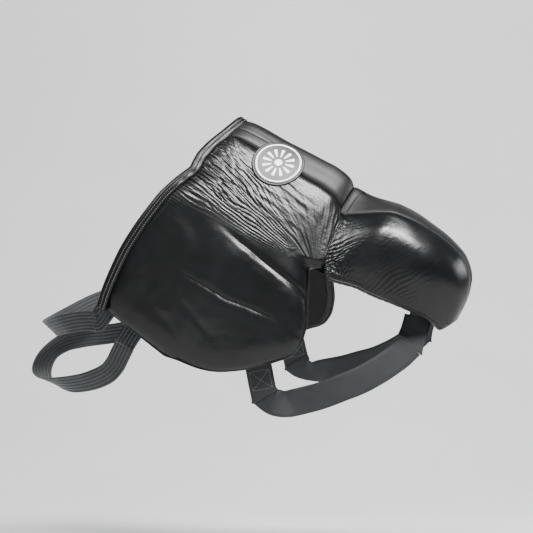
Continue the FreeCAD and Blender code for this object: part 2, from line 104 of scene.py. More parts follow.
# (arc, z) of the top edge
TOP = [(0, -3), (33, 1), (60, 4.5), (74, 5), (87, 3), (97, 1), (105, 2.5), (112, 4), (126, 6.5),
       (150, 9), (180, 8.5), (220, 5.5), (250, 0), (275, -6), (302, -14), (360, -20)]
# (arc, z) of the lower edge of the wing and of the front pad
WING_LOW = [(108, -181), (112, -184), (120.5, -190.5), (135, -199.5), (150, -211), (162, -218.5),
            (174, -223.5), (184, -226.5), (196.5, -227), (206.5, -224), (216, -218),
            (226, -211.5), (236, -204), (248, -194.5), (260, -183), (270, -172), (277.5, -161),
            (284, -147), (290, -127), (294, -108), (297, -95), (360, -60)]
FRONT_LOW = [(0, -163), (20, -165), (33, -169), (51, -180.5), (75, -193), (90, -197), (98, -194),
             (106, -187), (112, -184), (140, -180)]


def smooth(x):
    """Smooth step from 0 to 1."""
    x = np.clip(x, 0, 1)
    return x * x * (3 - 2 * x)


def bell(x):
    return np.exp(-x ** 2)


def decay(dist, length):
    return np.exp(-np.clip(dist, 0, 99) / length)


def rounded(x):
    """Quarter circle: 1 at x = 0, falling to 0 at x = 1."""
    return np.sqrt(1 - np.clip(x, 0, 1) ** 2)


def unit(vectors):
    vectors = np.asarray(vectors, float)
    return vectors / np.maximum(np.linalg.norm(vectors, axis=-1, keepdims=True), 1e-9)


def monotone(table):
    """Monotone cubic through (place, value) pairs, straight beyond both ends."""
    place, value = np.array(sorted(table), float).T
    slope = np.diff(value) / np.diff(place)
    tangent = np.zeros(len(place))
    tangent[0], tangent[-1] = slope[0], slope[-1]
    for i in range(1, len(place) - 1):
        before, after = slope[i - 1], slope[i]
        if before * after > 0:
            tangent[i] = 2 * before * after / (before + after)

    def curve(at):
        at = np.asarray(at, float)
        i = np.clip(np.searchsorted(place, at) - 1, 0, len(place) - 2)
        span = place[i + 1] - place[i]
        part = np.clip((at - place[i]) / span, 0, 1)
        rest = 1 - part
        ease = smooth(part)
        result = ((1 - ease) * value[i] + ease * value[i + 1]
                  + span * part * rest * (rest * tangent[i] - part * tangent[i + 1]))
        result = np.where(at < place[0], value[0] + tangent[0] * (at - place[0]), result)
        return np.where(at > place[-1], value[-1] + tangent[-1] * (at - place[-1]), result)
    return curve


turn, lean, top_edge, wing_low, front_low = map(monotone, (TURN, LEAN, TOP, WING_LOW, FRONT_LOW))
PLAN_ARC = np.arange(0, 360.01, PLAN_STEP)
plan_heading = np.radians(turn(PLAN_ARC[:-1] + PLAN_STEP / 2))
PLAN_X = np.concatenate([[0], np.cumsum(-np.cos(plan_heading) * PLAN_STEP)])
PLAN_Y = np.concatenate([[0], np.cumsum(np.sin(plan_heading) * PLAN_STEP)])


def plan_outer(arc):
    """Outer surface of the right side seen from above."""
    dist = np.abs(arc)
    return np.interp(dist, PLAN_ARC, PLAN_X), np.interp(dist, PLAN_ARC, PLAN_Y)


def plan_offset(arc, thick):
    x, y = plan_outer(arc)
    heading = np.radians(turn(arc))
    return x + np.sin(heading) * thick, y + np.cos(heading) * thick


def plan_inner(arc):
    """Inner surface: an offset at the sides and a flattened curve across the front."""
    dist = np.abs(arc)
    thick = PAD_FRONT + (PAD_SIDE - PAD_FRONT) * np.clip((dist - FRONT_ARC) / 70.0, 0, 1)
    side_x, side_y = plan_offset(dist, thick)
    join_x, join_y = plan_offset(FRONT_ARC, PAD_FRONT)
    part = np.clip(dist / FRONT_ARC, 0, 1)
    middle_y = join_y - abs(join_x) * math.tan(math.radians(float(turn(FRONT_ARC)))) * 0.62
    front_x = join_x * (0.55 * part + 0.45 * part * part)
    front_y = middle_y + (join_y - middle_y) * part ** 1.75
    in_front = dist < FRONT_ARC
    return np.where(in_front, front_x, side_x), np.where(in_front, front_y, side_y)


def wrap(arc, z, depth, side=1):
    """Point of the wrap; side 1 is the wearer's right. arc may run past the centre line."""
    arc, z, depth = np.broadcast_arrays(*(np.asarray(k, float) for k in (arc, z, depth)))
    out_x, out_y = plan_outer(arc)
    in_x, in_y = plan_inner(arc)
    share = depth / np.hypot(in_x - out_x, in_y - out_y)
    x = (out_x + (in_x - out_x) * share) * np.where(arc < 0, -1.0, 1.0) * side
    y = FRONT_Y + out_y + (in_y - out_y) * share + lean(z) * smooth(1 - np.abs(arc) / 150.0)
    return np.stack([x, y, z], -1)


def pad_depth(arc):
    out_x, out_y = plan_outer(arc)
    in_x, in_y = plan_inner(arc)
    return np.hypot(in_x - out_x, in_y - out_y)


def low_edge(arc):
    """Lower edge of the panels, front pad to wing, joined at the crotch apex."""
    dist = np.abs(arc)
    share = smooth((dist - 98) / 16.0)
    return front_low(dist) * (1 - share) + wing_low(dist) * share


# ---------------------------------------------------------------- noise
def lattice(i, j, seed):
    value = np.sin(i * 127.1 + j * 311.7 + seed * 74.7) * 43758.5453
    return value - np.floor(value)


def noise(x, y, seed):
    """Smooth value noise, -1..1."""
    i, j = np.floor(x), np.floor(y)
    mix_x, mix_y = (t * t * t * (t * (t * 6 - 15) + 10) for t in (x - i, y - j))
    near = lattice(i, j, seed) * (1 - mix_x) + lattice(i + 1, j, seed) * mix_x
    far = lattice(i, j + 1, seed) * (1 - mix_x) + lattice(i + 1, j + 1, seed) * mix_x
    return (near * (1 - mix_y) + far * mix_y) * 2 - 1


def fractal(x, y, seed, octaves=3):
    return sum(noise(x * 2 ** k, y * 2 ** k, seed + k * 13) / 2 ** k for k in range(octaves)) / 1.6


def folds(x, sharp):
    """Rounded folds with narrow valleys between them, 0 in the valley and 1 on the fold."""
    return 1 - np.abs(np.abs(np.mod(x, 2.0) - 1) * 2 - 1) ** sharp


# ---------------------------------------------------------------- meshes
def solid(name, points, faces, uv=None):
    """Smooth object from points in mm; uv holds a texture place in metres for each point."""
    mesh = bpy.data.meshes.new(name)
    mesh.from_pydata((np.asarray(points, float).reshape(-1, 3) * MM).tolist(), [], faces)
    mesh.update()
    if uv is not None:
        layer = mesh.uv_layers.new(name="UVMap")
        corners = np.zeros(len(mesh.loops), int)
        mesh.loops.foreach_get("vertex_index", corners)
        layer.data.foreach_set("uv", uv.reshape(-1, 2)[corners].astype(np.float32).ravel())
    work = bmesh.new()
    work.from_mesh(mesh)
    bmesh.ops.recalc_face_normals(work, faces=work.faces)
    for face in work.faces:
        face.smooth = True
    work.to_mesh(mesh)
    work.free()
    obj = bpy.data.objects.new(name, mesh)
    bpy.context.scene.collection.objects.link(obj)
    return obj


def grid(name, points, uv=None, tube=True):
    """Mesh from a grid of points. A tube closes along its columns and is capped at both ends."""
    rows, columns = points.shape[:2]
    index = np.arange(rows * columns).reshape(rows, columns)
    beside = np.roll(index, -1, axis=1)
    quads = np.stack([index[:-1], index[1:], beside[1:], beside[:-1]], -1)
    if not tube:
        quads = quads[:, :-1]
    faces = quads.reshape(-1, 4).tolist()
    if tube:
        faces += [index[0][::-1].tolist(), index[-1].tolist()]
    return solid(name, points, faces, uv)


def two_faced(outer, inner):
    """Cross-sections that run along the outer face and back along the inner one."""
    return np.concatenate([outer, inner[:, ::-1]], 1)


def wrap_uv(arc, z, skip=0):
    """Texture places of a panel of the wrap, its inner face laid out below the outer."""
    return np.stack([np.concatenate([arc, arc[:, skip:]], 1),
                     np.concatenate([z, -z[:, skip:]], 1)], -1) * MM


def lengths(path):
    steps = np.linalg.norm(np.diff(path, axis=0), axis=1)
    return np.concatenate([[0], np.cumsum(steps)])


def interpolate(places, known, values):
    """Rows of values, known at some lengths, read at other places."""
    return np.stack([np.interp(places, known, column) for column in values.T], -1)


def resample(path, number):
    """Even steps along a path whose first columns are its position."""
    known = lengths(path[:, :3])
    return interpolate(np.linspace(0, known[-1], number), known, path)


def oval(number, half_a, half_b):
    angle = np.linspace(0, 2 * math.pi, number, endpoint=False)
    return np.stack([half_a * np.cos(angle), half_b * np.sin(angle)], -1)


def sweep(name, path, axis_a, axis_b, profile):
    """Closed profile, one or one per path point, swept along a path on two side directions."""
    axis_a, axis_b = (np.broadcast_to(axis, path.shape)[:, None] for axis in (axis_a, axis_b))
    profile = np.asarray(profile, float)
    if profile.ndim == 2:
        profile = np.broadcast_to(profile, (len(path),) + profile.shape)
    points = path[:, None] + axis_a * profile[..., 0:1] + axis_b * profile[..., 1:2]
    uv = np.broadcast_arrays(lengths(path)[:, None], lengths(profile[0])[None])
    return grid(name, points, np.stack(uv, -1) * MM)


# One stitch: (place along it, share of the radius, lift as a share of the radius)
STITCH_RINGS = ((0, 0.25, -0.95), (0.12, 0.8, -0.35), (0.5, 1.0, 0.1), (0.88, 0.8, -0.35),
                (1, 0.25, -0.95))
STITCH_SIDES = 6


def stitches(name, path, out, pitch, length, radius):
    """Row of thread stitches: small capsules along the path, standing a little proud of it."""
    out = np.broadcast_to(out, path.shape)
    known = lengths(path)
    points, faces = [], []
    for i in range(max(1, int(known[-1] / pitch))):
        begin, end = i * pitch + (pitch - length) / 2, i * pitch + (pitch + length) / 2
        middle = (begin + end) / 2
        first, centre, last = interpolate(np.array([begin, middle, end]), known, path)
        rise = unit(interpolate(middle, known, out))
        across = np.cross(unit(last - first), rise)
        base = len(points)
        for place, share, lift in STITCH_RINGS:
            bow = (centre - (first + last) / 2) * (4 * place * (1 - place))
            hub = first * (1 - place) + last * place + bow + rise * radius * lift
            for along, up in oval(STITCH_SIDES, 1, 1):
                points.append(hub + (across * along + rise * up) * radius * share)
        for j in range(len(STITCH_RINGS) - 1):
            ring = base + j * STITCH_SIDES
            for k in range(STITCH_SIDES):
                after = (k + 1) % STITCH_SIDES
                faces.append((ring + k, ring + after,
                              ring + STITCH_SIDES + after, ring + STITCH_SIDES + k))
        last_ring = base + (len(STITCH_RINGS) - 1) * STITCH_SIDES
        faces.append(list(range(base, base + STITCH_SIDES))[::-1])
        faces.append(list(range(last_ring, last_ring + STITCH_SIDES)))
    return solid(name, points, faces)


def metres(point, side=1):
    """Point in mm, mirrored to its side, as a tuple in metres."""
    return tuple(np.asarray(point) * (side, 1, 1) * MM)


def attach(obj, material, follow, nodes=()):
    """Give an object its material and the body it follows, and hide the nodes it replaces. A blend
    (a tuple) is not used: such an object only has its transform baked.
    """
    obj.data.materials.append(material)
    if isinstance(follow, tuple):
        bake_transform(obj)
    else:
        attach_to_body(obj, follow)
    if nodes:
        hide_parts(*nodes)


def flex_blend(name, side):
    """Blend across the flex line between abdomen pad and wing."""
    return ("front", "wing_" + name, metres(wrap(99, -90, 10, side)),
            metres(wrap(128, -90, 10, side)))


# ---------------------------------------------------------------- materials
class Shader:
    """A node material, with shorthand for adding and joining nodes."""

    def __init__(self, name):
        self.material = bpy.data.materials.new(name)
        self.material.use_nodes = True
        self.tree = self.material.node_tree

    def feed(self, socket, value):
        if isinstance(value, bpy.types.NodeSocket):
            self.tree.links.new(value, socket)
        else:
            socket.default_value = value

    def node(self, kind, **settings):
        """Add a node; settings are inputs (values or outputs of other nodes) or properties."""
        node = self.tree.nodes.new("ShaderNode" + kind)
        for key, value in settings.items():
            if key in node.inputs:
                self.feed(node.inputs[key], value)
            else:
                setattr(node, key, value)
        return node

    def object_place(self):
        return self.node("TexCoord").outputs["Object"]

    def noise(self, place, **settings):
        return self.node("TexNoise", Vector=place, **settings).outputs["Fac"]

    def bump(self, height, **settings):
        return self.node("Bump", Height=height, **settings).outputs["Normal"]

    def ramp(self, factor, stops):
        """Colour ramp through (position, colour) stops."""
        node = self.node("ValToRGB", Fac=factor)
        elements = node.color_ramp.elements
        ends = [(elements[0], stops[0]), (elements[1], stops[-1])]
        for element, (position, colour) in ends:
            element.position = position
            element.color = (*colour, 1.0)
        for position, colour in stops[1:-1]:
            elements.new(position).color = (*colour, 1.0)
        return node.outputs["Color"]

    def math(self, operation, *values, clamp=False):
        node = self.node("Math", operation=operation, use_clamp=clamp)
        for socket, value in zip(node.inputs, values):
            self.feed(socket, value)
        return node.outputs[0]

    def weighted(self, *terms):
        """Sum of (output, weight) terms."""
        total = None
        for value, weight in terms:
            scaled = self.math("MULTIPLY", value, weight)
            total = scaled if total is None else self.math("ADD", total, scaled)
        return total

    def surface(self, inputs):
        """Set or link inputs of the principled shader and return the material."""
        principled = self.tree.nodes["Principled BSDF"]
        for key, value in inputs.items():
            self.feed(principled.inputs[key], value)
        return self.material


def shade(colour, gain, lift=0.0):
    return tuple(k * gain + lift for k in colour)


def leather(name, base, rough, grain=0.00011, scale=900.0, specular=0.36):
    """Leather with a grain of the given depth (m) and cells per metre, paler on worn edges."""
    shader = Shader(name)
    place = shader.object_place()
    cells = shader.node("TexVoronoi", feature="F1", Scale=scale, Vector=place)
    uneven = shader.noise(place, Scale=scale * 0.35, Detail=4.0)
    pores = shader.noise(place, Scale=scale * 2.6, Detail=2.0)
    cracks = shader.node("TexVoronoi", feature="DISTANCE_TO_EDGE", Scale=scale * 0.42,
                         Vector=place)
    crack = shader.math("MINIMUM", shader.math("MULTIPLY", cracks.outputs["Distance"], 5.0), 1.0)
    height = shader.weighted((cells.outputs["Distance"], 0.55), (uneven, 0.6), (crack, 0.35),
                             (pores, 0.12))
    # creases too fine to model lie under the grain
    creases = shader.noise(place, Scale=46.0, Detail=6.0, Roughness=0.62, Distortion=0.6)
    creased = shader.bump(creases, Strength=0.35, Distance=0.0009)
    normal = shader.bump(height, Strength=0.55, Distance=grain, Normal=creased)
    tone = shader.noise(place, Scale=14.0, Detail=5.0, Roughness=0.6)
    pointiness = shader.node("NewGeometry").outputs["Pointiness"]
    edge = shader.math("MULTIPLY", shader.math("SUBTRACT", pointiness, 0.505), 4.5, clamp=True)
    colour = shader.ramp(tone, [(0.3, shade(base, 0.72)), (0.52, base), (0.75, shade(base, 1.45))])
    worn = shader.node("MixRGB", blend_type="MIX", Fac=shader.math("MULTIPLY", edge, 0.55),
                       Color1=colour, Color2=(*shade(base, 3.2, lift=0.012), 1.0))
    roughness = shader.math("ADD", shader.math("MULTIPLY", tone, 0.20), rough - 0.10)
    roughness = shader.math("ADD", roughness, shader.math("MULTIPLY", edge, 0.10))
    return shader.surface({
        "Normal": normal, "Base Color": worn.outputs["Color"], "Roughness": roughness,
        "Specular IOR Level": specular, "Coat Weight": 0.10, "Coat Roughness": 0.34})


def woven(name, kind, dark, light, rough, pitch, depth, sheen):
    """Cloth with cross ribs, long ribs or a plain weave; pitch is along its length and width (m)."""
    shader = Shader(name)
    long_pitch, wide_pitch = pitch
    uv = shader.node("UVMap", uv_map="UVMap").outputs["UV"]
    split = shader.node("SeparateXYZ", Vector=uv)
    fibre = shader.noise(uv, Scale=900.0, Detail=3.0)
    wobble = shader.math("MULTIPLY", shader.math("SUBTRACT", fibre, 0.5), long_pitch * 0.35)

    def wave(axis, step):
        shifted = shader.math("ADD", split.outputs[axis], wobble)
        angle = shader.math("MULTIPLY", shifted, 2 * math.pi / step)
        return shader.math("ADD", shader.math("MULTIPLY", shader.math("SINE", angle), 0.5), 0.5)

    if kind == "cross":
        height = shader.weighted((wave("X", long_pitch), 0.8), (wave("Y", wide_pitch), 0.3))
    elif kind == "long":
        height = shader.weighted((wave("Y", wide_pitch), 0.85), (wave("X", long_pitch), 0.25))
    else:
        warp = shader.math("MULTIPLY", wave("X", long_pitch), wave("Y", wide_pitch * 2))
        weft = shader.math("MULTIPLY", wave("Y", wide_pitch), wave("X", long_pitch * 2))
        height = shader.math("MAXIMUM", warp, weft)
    colour = shader.ramp(height, [(0.15, dark), (0.85, light)])
    tone = shader.noise(shader.object_place(), Scale=60.0, Detail=4.0)
    patches = shader.ramp(tone, [(0.3, (0.55, 0.55, 0.55)), (0.7, (1, 1, 1))])
    mixed = shader.node("MixRGB", blend_type="MULTIPLY", Fac=0.5, Color1=colour, Color2=patches)
    fuzzy = shader.math("ADD", height, shader.math("MULTIPLY", fibre, 0.25))
    return shader.surface({
        "Base Color": mixed.outputs["Color"],
        "Normal": shader.bump(fuzzy, Strength=0.8, Distance=depth),
        "Roughness": rough, "Sheen Weight": sheen, "Sheen Roughness": 0.45})


def speckled(name, base, rough, scale, contrast, bump=0.0002):
    """Plain material with a little noise in its colour and height."""
    shader = Shader(name)
    grain = shader.noise(shader.object_place(), Scale=scale, Detail=5.0)
    stops = [(0.3, shade(base, 1 - contrast)), (0.7, shade(base, 1 + contrast))]
    return shader.surface({
        "Base Color": shader.ramp(grain, stops),
        "Normal": shader.bump(grain, Strength=0.5, Distance=bump), "Roughness": rough})


LEATHER = leather("leather_black", (0.0075, 0.0077, 0.0082), rough=0.33)
STRIP_LEATHER = leather("leather_strip", (0.0125, 0.0122, 0.0122), rough=0.50, grain=0.00013,
                        specular=0.40)
CUP_LEATHER = leather("leather_cup", (0.0078, 0.0080, 0.0086), rough=0.29, scale=1000.0)
BINDING = leather("leather_binding", (0.0055, 0.0055, 0.006), rough=0.40, scale=1400.0,
                  grain=0.00009)
LINING = woven("lining_weave", "plain", dark=(0.008, 0.008, 0.009), light=(0.028, 0.028, 0.030),
               rough=0.85, pitch=(0.0011, 0.0011), depth=0.00015, sheen=0.25)
WEBBING = woven("webbing_ribs", "cross", dark=(0.009, 0.010, 0.011), light=(0.030, 0.033, 0.036),
                rough=0.62, pitch=(0.0013, 0.0009), depth=0.00022, sheen=0.35)
ELASTIC = woven("elastic_ribs", "long", dark=(0.008, 0.0085, 0.009), light=(0.040, 0.043, 0.046),
                rough=0.60, pitch=(0.0011, 0.0042), depth=0.00045, sheen=0.35)
THREAD = speckled("thread_grey", (0.20, 0.205, 0.21), rough=0.55, scale=2500.0, contrast=0.3)
DARK_THREAD = speckled("thread_black", (0.035, 0.036, 0.038), rough=0.5, scale=2500.0,
                       contrast=0.3)
PRINT = speckled("badge_print_light", (0.80, 0.80, 0.79), rough=0.45, scale=900.0, contrast=0.06,
                 bump=0.00006)
BADGE = speckled("badge_field", (0.012, 0.012, 0.013), rough=0.42, scale=1500.0, contrast=0.3,
                 bump=0.00010)
FOAM = speckled("foam_grey", (0.10, 0.10, 0.105), rough=0.9, scale=700.0, contrast=0.25,
                bump=0.0004)
PLASTIC = speckled("cup_plastic", (0.05, 0.05, 0.053), rough=0.45, scale=500.0, contrast=0.15,
                   bump=0.00008)


# ---------------------------------------------------------------- relief of the side leather
# Crease lines are laid out by a horizontal coordinate, mm along SLANT (x, y), and by z.
SLANT = (0.2588, -0.9659)
slant_arcs = np.linspace(20, 302, 565)
slant_points = wrap(slant_arcs, -80.0, 0.0)
slant_places = SLANT[0] * slant_points[..., 0] + SLANT[1] * slant_points[..., 1]


def arc_at(place):
    """Arc at which the outer surface has this place along SLANT."""
    return float(np.interp(-float(place), -slant_places, slant_arcs))


def traced(*points):
    return [(arc_at(place), z) for place, z in points]


# Points of each line: (place along SLANT, z)
CREASE = traced((-43, -60), (-41, -72), (-37, -97), (-33.6, -128), (-25.6, -153), (-19.4, -178),
                (-14, -196))
DIAGONAL = traced((34, -16), (20, -34), (0, -60), (-18, -78), (-34, -92))
PAD_LINE = traced((30, -60), (28, -100), (27, -150), (27, -206))
# Soft hollows of the wing: (line, depth)
HOLLOWS = ((traced((-92, -60), (-98, -92), (-108, -118)), 1.5),
           (traced((-68, -84), (-74, -118), (-82, -150)), 1.9))


def line_distance(arc, z, line):
    """Distance to a line through points, and the place along it 0..1."""
    best, along = np.full(arc.shape, 1e9), np.zeros(arc.shape)
    pieces = len(line) - 1
    for i in range(pieces):
        (from_arc, from_z), (to_arc, to_z) = line[i], line[i + 1]
        run, rise = to_arc - from_arc, to_z - from_z
        part = ((arc - from_arc) * run + (z - from_z) * rise) / (run * run + rise * rise)
        part = np.clip(part, 0, 1)
        dist = np.hypot(arc - from_arc - run * part, z - from_z - rise * part)
        along = np.where(dist < best, (i + part) / pieces, along)
        best = np.minimum(best, dist)
    return best, along


def edge_distance(arc, z):
    """Distance to the wing's lower and rear edge."""
    low_arc = np.linspace(108, 290, 120)
    rear_z = np.linspace(-140, 20, 60)
    rear_arc = END_ARC - 8 * smooth((-105 - rear_z) / 40.0)
    best = np.full(arc.shape, 1e9)
    for edge_arc, edge_z in zip(np.concatenate([low_arc, rear_arc]),
                                np.concatenate([low_edge(low_arc), rear_z])):
        best = np.minimum(best, np.hypot(arc - edge_arc, z - edge_z))
    return best


def apex_relief(arc, z, seed):
    """Gathers at the flex line and fine creases in front of them, fanning out of the apex."""
    ahead, rise = APEX_ARC - arc, z - APEX_Z
    radius = np.hypot(ahead, rise) + 1e-6
    bend = 6.0 * np.sin(np.clip(rise / 190, 0, 1) * 3.1)
    angle = np.degrees(np.arctan2(ahead + bend * 0.6, np.maximum(rise, 4.0)))
    drift = fractal(arc / 26, z / 60, seed + 1) * 1.5
    reach = (bell((angle - 4.5) / 8.5) + 0.30 * bell((angle - 17) / 9)) * smooth((150 - arc) / 26)
    broad = folds(angle / 2.15 + drift, 1.3) - 0.5
    narrow = folds(angle / 1.1 + 1.7 * fractal(arc / 15, z / 38, seed + 2), 1.2) - 0.5
    broad_gain = np.clip(0.55 + 0.6 * fractal(arc / 19, z / 33, seed + 3), 0.12, 1.3)
    narrow_gain = np.clip(0.6 + 0.9 * fractal(arc / 9, z / 22, seed + 4), 0.05, 1.5)
    relief = (reach * np.clip(radius / 150.0, 0.04, 1.2) ** 0.8
              * (1.75 * broad * broad_gain + 0.8 * narrow * narrow_gain))
    angle = np.degrees(np.arctan2(ahead, np.maximum(rise, 1.0)))
    return relief + (0.6 * fractal(angle / 2.6, radius / 34.0, seed + 5) * smooth((angle - 6) / 10)
                     * smooth((120 - radius) / 90) * smooth((arc - 36) / 12)
                     * np.clip(radius / 40, 0.2, 1))


def crease_relief(arc, z):
    """The modelled creases, hollows and swells of the side leather."""
    dist, along = line_distance(arc, z, PAD_LINE)
    relief = (0.6 * bell((arc - arc_at(27) - 14) / 12) * smooth((-60 - z) / 60)
              - 1.7 * bell(dist / 3.6) * smooth(along * 2.2))
    dist, along = line_distance(arc, z, CREASE)
    ends = np.sin(np.pi * np.clip(along, 0, 1)) ** 0.7
    relief = relief - 1.7 * np.exp(-dist / 2.2) * ends
    relief = relief + 0.9 * (bell((dist - 9) / 8) - 0.28) * ends * bell(dist / 30)
    dist, along = line_distance(arc, z, DIAGONAL)
    ends = np.sin(np.pi * np.clip(0.02 + along * 0.96, 0, 1))
    relief = relief - 1.5 * bell(dist / 13.0) * ends
    relief = relief + 1.3 * bell(np.hypot((arc - arc_at(-2)) / 26, (z + 92) / 38))
    relief = relief + 1.6 * bell(np.hypot((arc - arc_at(12)) / 26, (z + 165) / 34))
    for line, depth in HOLLOWS:
        dist, along = line_distance(arc, z, line)
        ends = np.sin(np.pi * np.clip(along, 0.02, 0.98))
        relief = relief - depth * bell(dist / 5.0) * ends
    return relief


def side_relief(arc, z, seed):
    """Outward relief of the side leather in mm."""
    relief = apex_relief(arc, z, seed) + crease_relief(arc, z)
    # fine slanting creases over the front of the pad
    fine = fractal((arc + 0.12 * z) / 4.2, (z - 0.3 * arc) / 24, seed + 6, 2)
    relief = relief + (0.42 * fine * smooth((arc - 34) / 16) * smooth((125 - arc) / 30)
                       * smooth((z + 168) / 40))
    # puckers where the leather is sewn into the waist binding
    pucker = folds(arc / 4.3 + 0.9 * fractal(arc / 11, z / 30, seed + 7), 1.2) - 0.45
    height = 1.25 * bell((arc - 92) / 34) + 0.30
    reach = 9 + 16 * bell((arc - 92) / 30)
    relief = relief + height * pucker * decay(top_edge(arc) - 11 - z, reach)
    # the wing's own soft form
    wing = smooth((arc - 118) / 26)
    relief = relief + wing * (2.2 * fractal(arc / 52 + 3.1, z / 58 + 1.7, seed + 8, 2)
                              + 0.5 * fractal(arc / 17, z / 19, seed + 9, 2))
    # short pulls into the lower edge
    pull = folds(arc / 7.5 + 0.8 * fractal(arc / 9, z / 14, seed + 10), 1.2) - 0.5
    return relief + 0.5 * pull * np.exp(-np.clip(z - low_edge(arc), 0, 60) / 9.0) * wing


def strip_relief(arc, z):
    """The centre strip: shallow lengthwise swells and a soft line on each side."""
    return (0.5 * np.sin(z / 23.0 + 0.8) * smooth((30 - arc) / 20)
            + 0.35 * fractal(arc / 9, z / 60, 31, 2)
            - 0.5 * bell((arc - 19 - 0.02 * z) / 1.4) * smooth((z + 70) / 40))


# ---------------------------------------------------------------- padded panels and lining
def panel(name, arcs, rows, side, relief, material, follow, nodes, is_wing):
    """Closed leather-covered pad between the waist binding and its lower edge."""
    arc = arcs[:, None] * np.ones(rows)
    dist = np.abs(arc)
    top, low = top_edge(np.abs(arcs))[:, None] - 3.0, low_edge(arcs)[:, None]
    z = top + (low - top) * np.linspace(0, 1, rows) ** 0.94
    pad = pad_depth(arcs)[:, None] * np.ones(rows)
    from_edge = z - low
    if is_wing:
        from_edge = np.where(arc < 108, from_edge, edge_distance(arc, z))
        seam_dip = 2.7 * decay(dist - SEAM_ARC, 3.2)
    else:
        seam_dip = 2.2 * decay(SEAM_ARC - dist, 2.6)
    # the edge rounds off over 11 mm on the pad and 30 mm on the wing
    outer_round = rounded(1 - from_edge / (11.0 + 19.0 * smooth((dist - 94) / 22.0)))
    inner_round = rounded(1 - from_edge / 11.0)
    middle = 0.60 * pad
    outer_edge = middle + (6.5 - middle) * smooth((106 - dist) / 14.0)
    top_dip = 3.0 * decay(top - 8 - z, 7.0)
    tuck = 2.6 * np.clip(1 - from_edge / 26.0, 0, 1) ** 2 * (1 - smooth((dist - 55) / 35.0))
    outer = (outer_edge * (1 - outer_round) + np.maximum(top_dip, seam_dip) + tuck
             - relief(dist, z) * np.clip(from_edge / 3.0, 0, 1))
    inner = middle + (pad - 1.4 - middle) * inner_round
    # both faces share the lower edge, so the inner one starts a row later
    points = two_faced(wrap(arc, z, outer, side), wrap(arc, z, inner, side)[:, :-1])
    obj = grid(name, points, wrap_uv(arc, z, skip=1))
    attach(obj, material, follow, nodes)


def side_panel(name, side):
    arcs = np.concatenate([
        np.linspace(SEAM_ARC + 0.15, 150, count(170)),
        np.linspace(150, END_ARC - 8, count(95))[1:],
        END_ARC - 8 + 8.0 * np.sin(np.linspace(0, math.pi / 2, 9))[1:]])
    seed = 3 if side > 0 else 57
    nodes = ("hip_cover_" + name, "hip_foam_" + name, "abdomen_side_cover_" + name)
    panel("side_leather_" + name, arcs, count(150), side,
          lambda arc, z: side_relief(arc, z, seed), LEATHER, flex_blend(name, side), nodes, True)


def lining(name, side):
    """Thin padded lining inside the abdomen pad and wing, from the centre line back."""
    arcs = np.concatenate([np.linspace(0, 120, 60), np.linspace(120, 292, 60)[1:]])
    rows = 60
    arc = arcs[:, None] * np.ones(rows)
    top, low = top_edge(arcs)[:, None] - 5.0, low_edge(arcs)[:, None] + 5.0
    z = top + (low - top) * np.linspace(0, 1, rows)
    share = np.clip(edge_distance(arc, z) / 9.0, 0, 1)
    puff = 0.7 * fractal(arc / 24, z / 28, 71, 2) + 0.5 * (folds(arc / 30.0, 2.5) - 0.5)
    depth = pad_depth(arcs)[:, None] - 2.0 + 1.2 * rounded(1 - share) + puff * share * 0.6
    points = two_faced(wrap(arc, z, depth - 1.4, side), wrap(arc, z, depth + 0.2, side))
    nodes = ("hip_lining_" + name,) + (("abdomen_lining",) if side > 0 else ())
    attach(grid("lining_" + name, points, wrap_uv(arc, z)), LINING,
           flex_blend(name, side), nodes)


for name, side in SIDES:
    side_panel(name, side)
panel("center_strip_leather", np.linspace(-SEAM_ARC, SEAM_ARC, count(67) * 2 + 1), count(110), 1,
      strip_relief, STRIP_LEATHER, "front", ("abdomen_center_cover", "abdomen_foam"), False)
for name, side in SIDES:
    lining(name, side)


# ---------------------------------------------------------------- waist binding and wing edge
BINDING_DROP = 11.0  # height of the folded tape


def binding_profile(arc, pad):
    """Section of the tape over the top edge: (depth inward, height above the edge)."""
    wave = (0.35 * math.sin(arc / 3.1 + 2 * math.sin(arc / 17)) * bell((arc - 92) / 40)
            + 0.18 * math.sin(arc / 5.3))
    hem = -BINDING_DROP
    return [
        (2.1, hem - 0.6), (0.7, hem), (0.3 + wave, hem + 2.5), (0.2 + wave, hem + 5.0),
        (1.1 + wave * 0.6, hem + 6.6), (0.5, hem + 8.0), (0.6, -1.6), (2.1, 0.4), (4.6, 1.5),
        (pad * 0.32, 1.9), (pad * 0.5, 2.0), (pad * 0.72, 1.8), (pad - 2.0, 1.2),
        (pad + 0.2, -0.4), (pad + 1.0, -3), (pad + 1.1, hem + 3), (pad + 0.6, hem + 0.4),
        (pad - 0.6, hem - 0.2), (pad * 0.6, hem + 1.0)]


def waist_binding(name, side):
    """Folded tape over the top edge of one side, meeting the other at the centre."""
    arc = np.concatenate([np.linspace(0, 12, 14), np.linspace(12, 150, 150)[1:],
                          np.linspace(150, END_ARC + 1.0, 90)[1:]])
    top = top_edge(arc)
    edge = wrap(arc, top, 0.0, side)
    inward = unit(wrap(arc, top, 6.0, side) - edge)
    profiles = [binding_profile(*station) for station in zip(arc, pad_depth(arc))]
    obj = sweep("waist_binding_run_" + name, edge, inward, (0, 0, 1), profiles)
    subdivision = obj.modifiers.new("round", "SUBSURF")
    subdivision.levels = subdivision.render_levels = 1
    nodes = ("waist_binding_" + name,) + (("waist_binding_front",) if side > 0 else ())
    attach(obj, BINDING, flex_blend(name, side), nodes)
    for row, drop, depth in (("upper", 4.4, 0.35), ("lower", 8.6, 0.1)):
        obj = stitches(f"binding_stitch_{row}_{name}", wrap(arc, top - drop, depth, side), -inward,
                       pitch=2.9, length=2.0, radius=0.32)
        attach(obj, THREAD, flex_blend(name, side))


